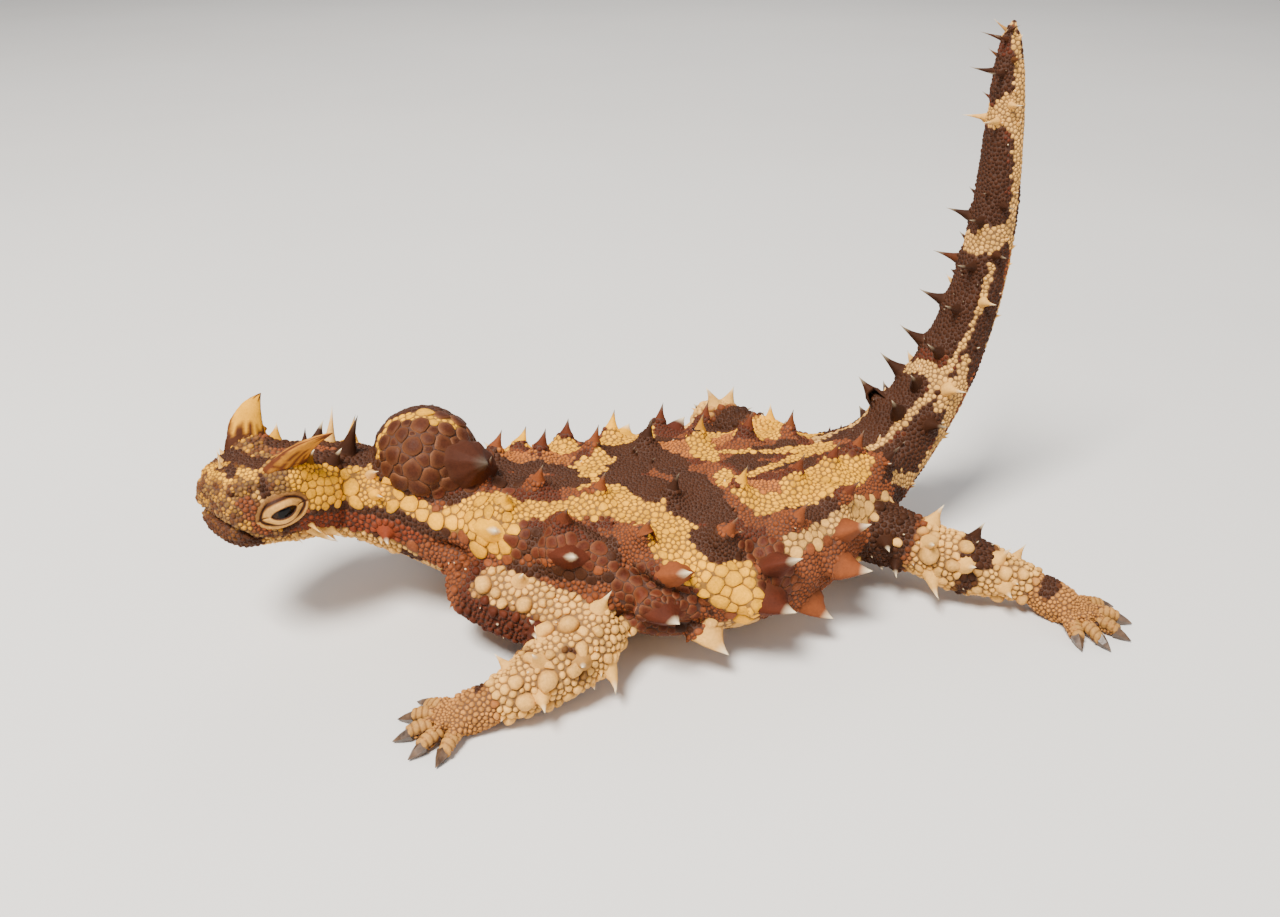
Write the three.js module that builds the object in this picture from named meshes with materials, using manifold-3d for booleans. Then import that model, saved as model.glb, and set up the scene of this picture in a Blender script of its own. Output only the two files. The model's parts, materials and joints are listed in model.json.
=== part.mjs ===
// Thorny devil, a spiny desert lizard, as a still life-size model of an adult in mid walk.
// Millimetres, +Z up. The trunk lies along X with the head towards -X, turned to its left (-Y),
// and the tail is held up. The feet stand on the plane Z = 0.
import * as THREE from "three";
import { mergeVertices } from "three/addons/utils/BufferGeometryUtils.js";
import Module from "manifold-3d";

const wasm = await Module();
wasm.setup();

// Driving sizes
const jointGap = 0.3; // parting gap between neighbouring pieces of flesh
const snugGap = 0.12; // gap round eyes, horns and claws
const sidesOfBody = 16;
const sidesOfTail = 10;
const boxCentre = { x: -1.626, y: 1.777 }; // middle of the standing animal, moved to the origin
const toeSpread = 25; // degrees between neighbouring toes
const floorCut = 12; // depth of the block that cuts the soles flat

// Colours and finish of the pieces
const finishes = {
  hide: { color: 0x8a5a34, roughness: 0.75 },
  dorsal: { color: 0x4a2a1c, roughness: 0.75 },
  limb: { color: 0xcdb487, roughness: 0.72 },
  horn: { color: 0xd9c58f, roughness: 0.5 },
  claw: { color: 0x7d6440, roughness: 0.45 },
  eye: { color: 0x120d0a, roughness: 0.12 },
};

// The midline from the snout to the tail tip. turn is the bend to the animal's left in degrees,
// side the half width, top and bottom the heights above and below the midline.
const midline = [
  { at: "snout", x: -59.4, y: -4.2, z: 21.6, turn: 30, side: 3.7, top: 3.6, bottom: 3.6 },
  { at: "muzzle", x: -57.8, y: -3.2, z: 21.6, turn: 30, side: 5.5, top: 5.0, bottom: 5.2 },
  { at: "eyes", x: -54.2, y: -1.1, z: 21.3, turn: 30, side: 6.4, top: 5.5, bottom: 5.8 },
  { at: "cheeks", x: -50.6, y: 1.0, z: 20.8, turn: 27, side: 7.5, top: 5.4, bottom: 6.4 },
  { at: "occiput", x: -46.4, y: 2.8, z: 20.2, turn: 20, side: 7.0, top: 4.9, bottom: 6.6 },
  { at: "neck", x: -41.0, y: 3.2, z: 18.8, turn: 13, side: 6.8, top: 4.6, bottom: 7.0 },
  { at: "nape", x: -34.0, y: 1.4, z: 16.6, turn: 8, side: 8.0, top: 4.6, bottom: 7.6 },
  { at: "shoulders", x: -27.0, y: -1.0, z: 14.6, turn: 5, side: 9.8, top: 6.2, bottom: 8.6 },
  { at: "chest", x: -19.0, y: -3.6, z: 12.8, turn: 4, side: 13.2, top: 7.6, bottom: 9.6 },
  { at: "ribs", x: -9.0, y: -5.8, z: 11.7, turn: 2, side: 17.8, top: 8.3, bottom: 10.0 },
  { at: "belly", x: 2.0, y: -6.6, z: 11.2, turn: 0, side: 20.2, top: 8.4, bottom: 9.8 },
  { at: "flank", x: 12.2, y: -6.0, z: 11.2, turn: -1, side: 18.2, top: 8.0, bottom: 9.4 },
  { at: "loin", x: 20.6, y: -4.4, z: 11.3, turn: -2, side: 13.2, top: 7.0, bottom: 8.4 },
  { at: "pelvis", x: 27.4, y: -2.8, z: 11.8, turn: -2, side: 9.8, top: 6.2, bottom: 7.0 },
  { at: "tail root", x: 33.2, y: -1.4, z: 13.6, turn: -1, side: 7.2, top: 5.6, bottom: 5.8 },
  { at: "tail rise", x: 38.6, y: -0.6, z: 18.8, turn: 0, side: 5.9, top: 4.9, bottom: 4.9 },
  { at: "tail bend", x: 43.6, y: -0.2, z: 27.0, turn: 0, side: 4.8, top: 4.2, bottom: 4.2 },
  { at: "tail middle", x: 46.8, y: 0, z: 37.4, turn: 0, side: 3.9, top: 3.6, bottom: 3.6 },
  { at: "tail upper", x: 47.9, y: 0, z: 48.2, turn: 0, side: 3.3, top: 3.1, bottom: 3.1 },
  { at: "tail high", x: 47.6, y: 0, z: 59.0, turn: 0, side: 2.8, top: 2.6, bottom: 2.6 },
  { at: "tail end", x: 46.7, y: 0, z: 69.0, turn: 0, side: 2.1, top: 2.0, bottom: 2.0 },
  { at: "tail tip", x: 45.9, y: 0, z: 74.6, turn: 0, side: 1.1, top: 1.0, bottom: 1.0 },
];
const stationIndex = Object.fromEntries(midline.map((m, i) => [m.at, i]));

const vec = (p) => new THREE.Vector3(...p);
const mixed = ["x", "y", "z", "turn", "side", "top", "bottom"];
const cubic = (a, b, c, d, t) =>
  0.5 * (2 * b + (c - a) * t + (2 * a - 5 * b + 4 * c - d) * t * t + (3 * b - a - 3 * c + d) * t * t * t);

// The midline's sizes at a station number, smooth between the named stations.
function stationAt(u) {
  const last = midline.length - 1;
  const i = Math.min(Math.floor(u), last - 1);
  const [a, b, c, d] = [i - 1, i, i + 1, i + 2].map((k) => midline[Math.max(0, Math.min(last, k))]);
  return Object.fromEntries(mixed.map((key) => [key, cubic(a[key], b[key], c[key], d[key], u - i)]));
}

// Where the section at station u stands: its centre, and the ways back, left and up.
function sectionFrame(u) {
  const last = midline.length - 1;
  const size = stationAt(u);
  const before = stationAt(Math.max(0, u - 0.05));
  const after = stationAt(Math.min(last, u + 0.05));
  const centre = new THREE.Vector3(size.x, size.y, size.z);
  const back = new THREE.Vector3(after.x - before.x, after.y - before.y, after.z - before.z).normalize();
  const turn = THREE.MathUtils.degToRad(size.turn);
  const left = new THREE.Vector3(Math.sin(turn), -Math.cos(turn), 0);
  left.addScaledVector(back, -left.dot(back)).normalize();
  const up = new THREE.Vector3().crossVectors(left, back);
  return { centre, back, left, up, size };
}

const squareness = { upper: 0.88, lower: 0.76 }; // 1 gives an ellipse, less gives fuller corners
const fuller = (v, power) => Math.sign(v) * Math.abs(v) ** power;

// A point of the body's surface. around is the angle from the middle of the back to the left.
function bodyPoint(u, around, share = 1, grow = 0) {
  const { centre, left, up, size } = sectionFrame(u);
  const upper = Math.cos(around) > 0;
  const power = upper ? squareness.upper : squareness.lower;
  const across = fuller(Math.sin(around), power);
  const rise = fuller(Math.cos(around), power);
  const height = (upper ? size.top : size.bottom) + grow;
  return centre
    .clone()
    .addScaledVector(left, share * across * (size.side + grow))
    .addScaledVector(up, share * rise * height);
}

function bodyNormal(u, around) {
  const step = 0.04;
  const along = bodyPoint(u + step, around).sub(bodyPoint(u - step, around));
  const round = bodyPoint(u, around + step).sub(bodyPoint(u, around - step));
  const out = new THREE.Vector3().crossVectors(round, along).normalize();
  const outward = bodyPoint(u, around).sub(sectionFrame(u).centre);
  return out.dot(outward) < 0 ? out.negate() : out;
}

// A solid from a closed geometry, with its faces turned outwards.
function solidOf(geometry) {
  const bare = geometry.clone();
  bare.deleteAttribute("normal");
  bare.deleteAttribute("uv");
  const merged = mergeVertices(bare, 1e-4);
  const vertProperties = new Float32Array(merged.attributes.position.array);
  const triVerts = new Uint32Array(merged.index.array);
  const solid = new wasm.Manifold(new wasm.Mesh({ numProp: 3, vertProperties, triVerts }));
  if (solid.volume() > 0) return solid;
  for (let i = 0; i < triVerts.length; i += 3) [triVerts[i], triVerts[i + 1]] = [triVerts[i + 1], triVerts[i]];
  return new wasm.Manifold(new wasm.Mesh({ numProp: 3, vertProperties, triVerts }));
}

// A cylinder whose every point is moved by place(share along, angle round, share of the radius).
function warpedCylinder(sides, rings, place) {
  const geometry = new THREE.CylinderGeometry(1, 1, 1, sides, rings, false);
  const spots = geometry.attributes.position;
  for (let i = 0; i < spots.count; i++) {
    const [x, y, z] = [spots.getX(i), spots.getY(i), spots.getZ(i)];
    const moved = place(0.5 - y, Math.atan2(x, z), Math.min(1, Math.hypot(x, z)));
    spots.setXYZ(i, moved.x, moved.y, moved.z);
  }
  return solidOf(geometry);
}

// The body between two stations, optionally grown all round.
function bodyLength(from, to, rings, grow = 0, sides = sidesOfBody) {
  return warpedCylinder(sides, rings, (along, around, share) =>
    bodyPoint(from + (to - from) * along, around, share, grow),
  );
}

// A tapering tube along part of a curve, closed at both ends. radiusAt gives the radius along that part.
function taperedTube(curve, radiusAt, { sides, rings, flat = 1, from = 0, to = 1 }) {
  const run = new THREE.Vector3().subVectors(curve.getPoint(1), curve.getPoint(0));
  const aside = vec([0, 0, 1]).cross(run).normalize();
  return warpedCylinder(sides, rings, (along, around, share) => {
    const t = from + (to - from) * along;
    const rise = new THREE.Vector3().crossVectors(curve.getTangent(t), aside).normalize();
    const radius = radiusAt(along) * share;
    return curve
      .getPoint(t)
      .addScaledVector(aside, Math.sin(around) * radius)
      .addScaledVector(rise, Math.cos(around) * radius * flat);
  });
}

// A limb length: a round-ended spindle from one joint to the next, with its radii at even steps.
function spindle(from, to, radii, sides = 8) {
  const axis = new THREE.Vector3().subVectors(to, from);
  const length = axis.length();
  const [first, last] = [radii[0], radii[radii.length - 1]];
  const ring = (radius, height) => new THREE.Vector2(radius, height);
  const profile = [ring(0, -first * 0.8), ring(first * 0.7, -first * 0.5)];
  radii.forEach((radius, i) => profile.push(ring(radius, (length * i) / (radii.length - 1))));
  profile.push(ring(last * 0.7, length + last * 0.5), ring(0, length + last * 0.8));
  return turnedSolid(profile, sides, axis, from);
}

// A lathe shape with its axis laid along a way, from a foot point.
function turnedSolid(profile, sides, way, foot) {
  const geometry = new THREE.LatheGeometry(profile, sides);
  const up = new THREE.Vector3(0, 1, 0);
  geometry.applyQuaternion(new THREE.Quaternion().setFromUnitVectors(up, way.clone().normalize()));
  return solidOf(geometry.translate(foot.x, foot.y, foot.z));
}

// A thorn: a broad low foot that draws in to a sharp spike. Plain ones are pyramids.
function thorn({ foot, way, length, radius, plain = false, sides = 4 }) {
  const sink = Math.min(0.9, radius * 0.5);
  const profile = [new THREE.Vector2(0, -sink), new THREE.Vector2(radius, -sink)];
  if (!plain) profile.push(new THREE.Vector2(radius * 0.42, length * 0.36));
  profile.push(new THREE.Vector2(0, length));
  return turnedSolid(profile, sides, way, foot);
}

// Limbs, joint by joint. The left side is the one that the head is turned towards.
// lead is the way that the middle toe points, counted round from +X.
const legs = {
  foreLeft: {
    upper: { from: [-28.4, -10.4, 9.4], to: [-14.8, -23.0, 6.8], radii: [5.0, 5.4, 4.8, 4.2] },
    lower: { from: [-15.4, -23.6, 6.6], to: [-27.8, -27.4, 3.8], radii: [4.1, 4.6, 4.1, 3.1] },
    palm: { to: [-32.6, -27.0, 1.9], radius: 2.7, lead: 184, toes: [3.4, 4.2, 4.6, 4.2, 3.4] },
  },
  foreRight: {
    upper: { from: [-28, 5, 10.2], to: [-18.5, 17.5, 8.0], radii: [5.0, 5.4, 4.8, 4.2] },
    lower: { from: [-19.4, 18.4, 7.8], to: [-32, 22.4, 3.8], radii: [4.1, 4.6, 4.1, 3.1] },
    palm: { to: [-37, 23.4, 1.9], radius: 2.7, lead: 170, toes: [3.4, 4.2, 4.6, 4.2, 3.4] },
  },
  hindLeft: {
    upper: { from: [21.5, -8, 10.5], to: [33.6, -17.4, 7.6], radii: [5.2, 5.3, 4.6, 4.0] },
    lower: { from: [34.4, -17.9, 7.0], to: [46, -23.8, 4.0], radii: [4.0, 4.4, 3.7, 2.9] },
    palm: { to: [49.8, -27.8, 1.9], radius: 2.7, lead: 306, toes: [3.6, 4.6, 5.2, 5.0, 3.8] },
  },
  hindRight: {
    upper: { from: [22, 3, 11.5], to: [14.4, 18.4, 12.6], radii: [5.2, 5.3, 4.6, 4.0] },
    lower: { from: [14.6, 19.4, 11.8], to: [21.5, 27, 4.2], radii: [4.0, 4.4, 3.7, 2.9] },
    palm: { to: [19.6, 31.2, 1.9], radius: 2.7, lead: 112, toes: [3.6, 4.6, 5.2, 5.0, 3.8] },
  },
};

const tipOf = (t) => t.foot.clone().addScaledVector(t.way.clone().normalize(), t.length);

// Whether a thorn stands clear of every limb length.
function clearOfLimbs(t) {
  return Object.values(legs).every((leg) =>
    [leg.upper, leg.lower].every((part) => {
      const line = new THREE.Line3(vec(part.from), vec(part.to));
      const away = (point) => line.closestPointToPoint(point, true, new THREE.Vector3()).distanceTo(point);
      const girth = Math.max(...part.radii);
      return away(t.foot) > girth + t.radius * 0.7 && away(tipOf(t)) > girth + 1.6;
    }),
  );
}

// Whether a thorn stands clear of the parting cut at station u.
function clearOfCut(t, u) {
  const { centre, back } = sectionFrame(u);
  const ahead = (point) => point.clone().sub(centre).dot(back);
  const [foot, tip] = [ahead(t.foot), ahead(tipOf(t))];
  return Math.abs(foot) > t.radius + jointGap && Math.sign(foot) === Math.sign(tip);
}

// Rows of thorns on the body. Angles are in degrees from the middle of the back, stations as numbers.
// lean tips the thorn backwards.
const { occiput, neck, nape, shoulders, chest, loin, pelvis } = stationIndex;
const thornRows = {
  trunk: [
    { angle: 19, from: shoulders + 0.1, to: pelvis + 0.6, count: 9, length: 3.3, radius: 2.3, lean: 0.3 },
    { angle: 45, from: shoulders + 0.5, to: pelvis + 0.2, count: 8, length: 3.5, radius: 2.5, lean: 0.35 },
    { angle: 68, from: shoulders + 0.3, to: loin + 0.5, count: 6, length: 3.2, radius: 2.9, lean: 0.9 },
    { angle: 92, from: chest + 0.2, to: loin + 0.3, count: 5, length: 4.0, radius: 3.1, lean: 1.1 },
    { angle: 114, from: chest + 0.6, to: loin, count: 4, length: 3.6, radius: 2.5, lean: 0.9 },
  ],
  neck: [
    { angle: 40, from: neck - 0.3, to: neck - 0.3, count: 1, length: 3.6, radius: 1.9, lean: 0.1 },
    { angle: 72, from: neck + 0.3, to: neck + 0.3, count: 1, length: 2.8, radius: 1.5, lean: 0.6 },
    { angle: 106, from: neck - 0.2, to: nape - 0.3, count: 2, length: 2.4, radius: 1.6, lean: 0.5, plain: true },
  ],
  head: [
    { angle: 30, from: 3.2, to: 4.1, count: 2, length: 2.4, radius: 1.3, lean: 0.2, plain: true },
    { angle: 122, from: 3.3, to: 3.9, count: 2, length: 2.0, radius: 1.2, lean: 0.5, plain: true },
  ],
};
const firstWhorl = stationIndex["tail root"] + 0.35;
const lastWhorl = stationIndex["tail tip"] - 0.45;
const whorls = 11;
// angle from the top, shift along in stations, length as a share of the half width
const whorlPlan = [
  [28, 0, 0.55],
  [82, 0.2, 0.34],
];
const whorlFoot = 0.44; // radius of a thorn's foot, as a share of the half width

function bodyThorn(u, angle, side, row) {
  const around = THREE.MathUtils.degToRad(angle) * side;
  const { back } = sectionFrame(u);
  const way = bodyNormal(u, around).addScaledVector(back, row.lean);
  return { foot: bodyPoint(u, around), way, length: row.length, radius: row.radius, plain: row.plain };
}

function thornsOfRows(rows) {
  return rows.flatMap((row) =>
    Array.from({ length: row.count }, (_, i) => {
      const u = row.from + ((row.to - row.from) * i) / Math.max(1, row.count - 1);
      return [1, -1].map((side) => bodyThorn(u, row.angle, side, row));
    }).flat(),
  );
}

function thornsOfTail(from, to) {
  const found = [];
  for (let k = 0; k < whorls; k++) {
    const u = firstWhorl + ((lastWhorl - firstWhorl) * k) / (whorls - 1);
    const { side } = stationAt(u);
    for (const [angle, shift, share] of whorlPlan) {
      const row = { length: 1 + side * share, radius: side * whorlFoot, lean: 0.15, plain: true };
      const pair = [1, -1].map((hand) => bodyThorn(u + shift, angle, hand, row));
      if (u + shift > from && u + shift < to) found.push(...pair);
    }
  }
  return found;
}

const joined = (solids) => solids.reduce((whole, piece) => whole.add(piece));
const withThorns = (solid, list) => joined([solid, ...list.map(thorn)]);

// The parting gap at station u, in stations.
function gapIn(u) {
  const step = 0.02;
  const run = sectionFrame(u + step).centre.distanceTo(sectionFrame(u - step).centre);
  return (jointGap / run) * step * 2;
}

// Stations of the cuts that part the body into its pieces
const cutAt = {
  neck: occiput + 0.3,
  trunk: nape + 0.2,
  tailBase: stationIndex["tail root"] + 0.1,
  tailMiddle: stationIndex["tail bend"] + 0.6,
  tailTip: stationIndex["tail high"] - 0.2,
};
const tailEnd = midline.length - 1;
const between = (from, to, rings) => bodyLength(from, to - gapIn(to), rings);
const fullTrunk = bodyLength(cutAt.trunk - 1, cutAt.tailBase, 12, jointGap);
const fullNeck = bodyLength(1, cutAt.trunk + 1, 8, jointGap);

const flesh = {};
const clearOfCuts = (list) => list.filter((t) => Object.values(cutAt).every((u) => clearOfCut(t, u)));
flesh.trunk = withThorns(
  between(cutAt.trunk, cutAt.tailBase, 10),
  clearOfCuts(thornsOfRows(thornRows.trunk)).filter(clearOfLimbs),
);
flesh.neck = withThorns(between(cutAt.neck, cutAt.trunk, 4), clearOfCuts(thornsOfRows(thornRows.neck)));
const tailLength = (from, to, rings, end = to - gapIn(to)) =>
  withThorns(bodyLength(from, end, rings, 0, sidesOfTail), clearOfCuts(thornsOfTail(from, to)));
flesh.tail_base = tailLength(cutAt.tailBase, cutAt.tailMiddle, 5);
flesh.tail_middle = tailLength(cutAt.tailMiddle, cutAt.tailTip, 5);
flesh.tail_tip = tailLength(cutAt.tailTip, tailEnd, 4, tailEnd);

// Head: brows under the horns, eye sockets and a parted lower jaw
const eyes = { station: 2.0, angle: 86, radius: 2.2, depth: 1.15 };
const horns = { station: 2.4, angle: 38, sunk: 0.82, foot: 2.9, flat: 0.72 };
const brows = { angle: 44, sunk: 0.76, radius: 3.2 };
const hornBend = { back: 0.4, out: 2.2, up: 4.6 }; // from the foot to the bend
const hornReach = { back: 5.2, out: 4.6, up: 6.4 }; // from the foot to the tip
const headFlesh = bodyLength(0, cutAt.neck - gapIn(cutAt.neck), 7);

function eyeSpot(side) {
  const around = THREE.MathUtils.degToRad(eyes.angle) * side;
  const out = bodyNormal(eyes.station, around);
  return bodyPoint(eyes.station, around).addScaledVector(out, -eyes.depth);
}

function ball(centre, radius, across = 10, rings = 6) {
  return solidOf(new THREE.SphereGeometry(radius, across, rings).translate(centre.x, centre.y, centre.z));
}

function hornCurve(side) {
  const around = THREE.MathUtils.degToRad(horns.angle) * side;
  const { back, left } = sectionFrame(horns.station);
  const foot = bodyPoint(horns.station, around, horns.sunk);
  const reached = (by) =>
    foot.clone().addScaledVector(back, by.back).addScaledVector(left, by.out * side).add(vec([0, 0, by.up]));
  return new THREE.QuadraticBezierCurve3(foot, reached(hornBend), reached(hornReach));
}

function brow(side) {
  const around = THREE.MathUtils.degToRad(brows.angle) * side;
  return ball(bodyPoint(horns.station, around, brows.sunk), brows.radius, 8, 5);
}

const hornRadius = (along) => horns.foot * (1 - along) ** 0.75 + 0.02;
const headGrown = joined([bodyLength(0, cutAt.neck + 0.5, 7, snugGap), brow(1), brow(-1)]);
const sockets = joined([1, -1].map((side) => ball(eyeSpot(side), eyes.radius + snugGap)));
const mouth = { slope: 4, corner: 3.05, drop: -1.9 }; // slope in degrees, corner in stations
const jawBox = { length: 28, width: 24, depth: 12 };

// A block under the mouth line, from in front of the snout to the corner of the jaw.
function jawBlock(grow) {
  const { centre, back, left, up } = sectionFrame(mouth.corner);
  const block = new THREE.BoxGeometry(jawBox.length + grow * 2, jawBox.width, jawBox.depth + grow);
  block.translate(-jawBox.length / 2, 0, (grow - jawBox.depth) / 2);
  block.rotateY(THREE.MathUtils.degToRad(mouth.slope));
  block.applyMatrix4(new THREE.Matrix4().makeBasis(back, left.clone().negate(), up));
  const spot = centre.clone().addScaledVector(up, mouth.drop);
  return solidOf(block.translate(spot.x, spot.y, spot.z));
}
const headThorns = thornsOfRows(thornRows.head);
const fullHead = withThorns(joined([headFlesh, brow(1), brow(-1)]), headThorns).subtract(sockets);
flesh.head = fullHead.subtract(jawBlock(jointGap));
flesh.lower_jaw = fullHead.intersect(jawBlock(0));

// The knob on the nape, with its two great thorns
const knob = { x: -32.5, y: 0.6, z: 23.4, length: 7.0, width: 7.3, height: 6.4, turn: 14 };
const knobMiddle = new THREE.Vector3(knob.x, knob.y, knob.z);
function knobShape() {
  const shape = new THREE.SphereGeometry(1, 12, 7);
  shape.scale(knob.length, knob.width, knob.height);
  shape.rotateZ(THREE.MathUtils.degToRad(knob.turn));
  return solidOf(shape.translate(knob.x, knob.y, knob.z));
}
const greatThorn = { out: 5.2, behind: 2.4, rise: 0.8, length: 5.2, radius: 3.9, sides: 6 };
const knobThorns = [1, -1].map((side) => {
  const turn = THREE.MathUtils.degToRad(knob.turn);
  const left = vec([Math.sin(turn), -Math.cos(turn), 0]).multiplyScalar(side);
  const back = vec([Math.cos(turn), Math.sin(turn), 0]);
  const mixedWay = (out, behind, rise) =>
    vec([0, 0, rise]).addScaledVector(left, out).addScaledVector(back, behind);
  const foot = mixedWay(greatThorn.out, greatThorn.behind, greatThorn.rise).add(knobMiddle);
  return { ...greatThorn, foot, way: mixedWay(0.9, 0.5, 0.18) };
});
flesh.nape_knob = withThorns(knobShape(), knobThorns).subtract(fullNeck).subtract(fullTrunk);

// Limbs, with thorns round each length
function limbThorns(part, plan, side) {
  const [from, to] = [vec(part.from), vec(part.to)];
  const axis = new THREE.Vector3().subVectors(to, from).normalize();
  const aside = new THREE.Vector3(0, 0, 1).cross(axis).normalize();
  if (aside.y * side > 0) aside.negate();
  const above = new THREE.Vector3().crossVectors(axis, aside);
  if (above.z < 0) above.negate();
  return plan.map(([share, angle, length, radius]) => {
    const turn = THREE.MathUtils.degToRad(angle);
    const out = above.clone().multiplyScalar(Math.cos(turn)).addScaledVector(aside, Math.sin(turn));
    const at = share * (part.radii.length - 1);
    const i = Math.min(Math.floor(at), part.radii.length - 2);
    const girth = THREE.MathUtils.lerp(part.radii[i], part.radii[i + 1], at - i);
    const foot = from.clone().lerp(to, share).addScaledVector(out, girth * 0.92);
    return { foot, way: out.addScaledVector(axis, 0.35), length, radius, plain: true };
  });
}

// share along the length, degrees from its top to the outside, length and foot radius of each thorn
const upperPlan = [
  [0.4, 20, 2.4, 1.5],
  [0.66, 75, 2.6, 1.7],
  [0.95, -15, 3.2, 1.9],
  [0.98, 50, 3.2, 1.9],
  [0.8, 110, 2.4, 1.5],
];
const lowerPlan = [
  [0.06, 115, 3.2, 1.9],
  [0.3, 60, 2.4, 1.6],
  [0.4, -40, 2.4, 1.5],
  [0.62, 20, 2.4, 1.6],
  [0.76, 88, 2.4, 1.5],
  [0.86, -30, 2.0, 1.2],
];

const clawRoot = 2 / 3; // where the claw starts on the curve of a toe
const toeRadius = (along) => 1.3 - 0.35 * along;
const clawRadius = (along) => 0.85 * (1 - along) ** 0.7 + 0.05;

function footPieces(name, { lower, palm }) {
  const wrist = vec(lower.to);
  const heel = vec(palm.to);
  const pieces = [spindle(wrist.lerp(heel, 0.4), heel, [palm.radius * 0.95, palm.radius])];
  const claws = {};
  palm.toes.forEach((length, i) => {
    const turn = THREE.MathUtils.degToRad(palm.lead + (i - 2) * toeSpread);
    const way = new THREE.Vector3(Math.cos(turn), Math.sin(turn), 0);
    const reach = (out, height) => heel.clone().addScaledVector(way, palm.radius * 0.4 + out).setZ(height);
    const marks = [reach(0, 1.6), reach(length * 0.6, 1.8), reach(length + 1, 1.0), reach(length + 3.4, 0.35)];
    const toe = new THREE.CatmullRomCurve3(marks);
    pieces.push(taperedTube(toe, toeRadius, { sides: 5, rings: 2, to: clawRoot }));
    const shape = { sides: 5, rings: 2, from: clawRoot + 0.03 };
    claws[`${name}_claw_${i + 1}`] = taperedTube(toe, clawRadius, shape);
  });
  return { foot: joined(pieces), claws };
}

const clawPieces = {};
for (const [name, leg] of Object.entries(legs)) {
  const hand = name.endsWith("Left") ? 1 : -1;
  const label = name.replace(/(Left|Right)/, (word) => "_" + word.toLowerCase());
  const lengthOf = (part, grow) => spindle(vec(part.from), vec(part.to), part.radii.map((r) => r + grow));
  const lowerThorns = limbThorns(leg.lower, lowerPlan, hand);
  const grownThorns = lowerThorns.map((t) => ({
    ...t,
    radius: t.radius + jointGap,
    length: t.length + jointGap * 2,
  }));
  const lowerGrown = withThorns(lengthOf(leg.lower, jointGap), grownThorns);
  const upper = withThorns(lengthOf(leg.upper, 0), limbThorns(leg.upper, upperPlan, hand));
  const lower = withThorns(lengthOf(leg.lower, 0), lowerThorns);
  const { foot, claws } = footPieces(label, leg);
  flesh[`${label}_upper`] = upper.subtract(fullTrunk).subtract(fullNeck).subtract(lowerGrown);
  flesh[`${label}_lower`] = lower.subtract(fullTrunk);
  flesh[`${label}_foot`] = foot.subtract(lowerGrown);
  Object.assign(clawPieces, claws);
}

// Everything is cut level at the floor, so that the soles stand on small flats.
const floorBlock = solidOf(new THREE.BoxGeometry(300, 300, floorCut).translate(0, 0, -floorCut / 2));

const largest = (solid) => solid.decompose().sort((a, b) => b.volume() - a.volume())[0];

function meshOf(name, solid, finish) {
  const { numProp, vertProperties, triVerts } = solid.getMesh();
  const count = vertProperties.length / numProp;
  const spots = new Float32Array(count * 3);
  for (let i = 0; i < count; i++) spots.set(vertProperties.subarray(i * numProp, i * numProp + 3), i * 3);
  const geometry = new THREE.BufferGeometry();
  geometry.setAttribute("position", new THREE.BufferAttribute(spots, 3));
  geometry.setIndex(new THREE.BufferAttribute(triVerts, 1));
  geometry.computeVertexNormals();
  const material = new THREE.MeshStandardMaterial({ ...finish, metalness: 0, flatShading: true });
  const mesh = new THREE.Mesh(geometry, material);
  mesh.name = name;
  return mesh;
}

const devil = new THREE.Group();
for (const [name, solid] of Object.entries(flesh)) {
  const dark = /tail|knob/.test(name) ? finishes.dorsal : finishes.hide;
  const finish = /fore|hind/.test(name) ? finishes.limb : dark;
  devil.add(meshOf(name, largest(solid.subtract(floorBlock)), finish));
}
for (const [name, solid] of Object.entries(clawPieces)) {
  devil.add(meshOf(name, largest(solid.subtract(floorBlock)), finishes.claw));
}
for (const [word, side] of [["left", 1], ["right", -1]]) {
  devil.add(meshOf(`eye_${word}`, ball(eyeSpot(side), eyes.radius), finishes.eye));
  const horn = taperedTube(hornCurve(side), hornRadius, { sides: 8, rings: 4, flat: horns.flat });
  devil.add(meshOf(`horn_${word}`, largest(horn.subtract(headGrown)), finishes.horn));
}

devil.position.set(-boxCentre.x, -boxCentre.y, 0);
const root = new THREE.Group();
root.add(devil);

export default root;
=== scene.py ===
# Thorny devil: hide, scales, thorns, horns, claws and eyes over the solids of the frame.
import bmesh
import bpy
import math
import json
import numpy as np
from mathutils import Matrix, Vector, noise
from mathutils.bvhtree import BVHTree
from mathutils.kdtree import KDTree

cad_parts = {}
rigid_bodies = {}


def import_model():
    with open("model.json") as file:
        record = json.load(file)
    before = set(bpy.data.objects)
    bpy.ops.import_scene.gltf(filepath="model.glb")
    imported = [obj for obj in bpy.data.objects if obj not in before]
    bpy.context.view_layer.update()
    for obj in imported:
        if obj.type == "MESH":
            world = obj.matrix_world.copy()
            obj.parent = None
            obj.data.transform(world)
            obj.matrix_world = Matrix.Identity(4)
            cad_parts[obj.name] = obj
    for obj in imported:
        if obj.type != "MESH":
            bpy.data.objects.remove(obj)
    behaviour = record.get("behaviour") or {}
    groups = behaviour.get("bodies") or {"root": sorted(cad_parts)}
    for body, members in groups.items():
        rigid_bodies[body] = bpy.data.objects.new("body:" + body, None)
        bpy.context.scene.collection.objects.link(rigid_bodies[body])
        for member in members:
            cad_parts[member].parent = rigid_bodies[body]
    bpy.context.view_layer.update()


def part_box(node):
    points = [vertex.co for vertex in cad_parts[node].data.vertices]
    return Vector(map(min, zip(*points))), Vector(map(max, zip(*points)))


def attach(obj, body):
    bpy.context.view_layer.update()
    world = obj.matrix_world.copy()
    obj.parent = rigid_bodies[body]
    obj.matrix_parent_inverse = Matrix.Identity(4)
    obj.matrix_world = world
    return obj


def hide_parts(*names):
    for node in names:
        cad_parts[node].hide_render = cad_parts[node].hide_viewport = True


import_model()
mm = 0.001
draw = np.random.RandomState(7)

# the animal's own measure, in mm: the middle of its box stands at the frame's origin
boxCentre = np.array([-1.626, 1.777, 0.0])

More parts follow.
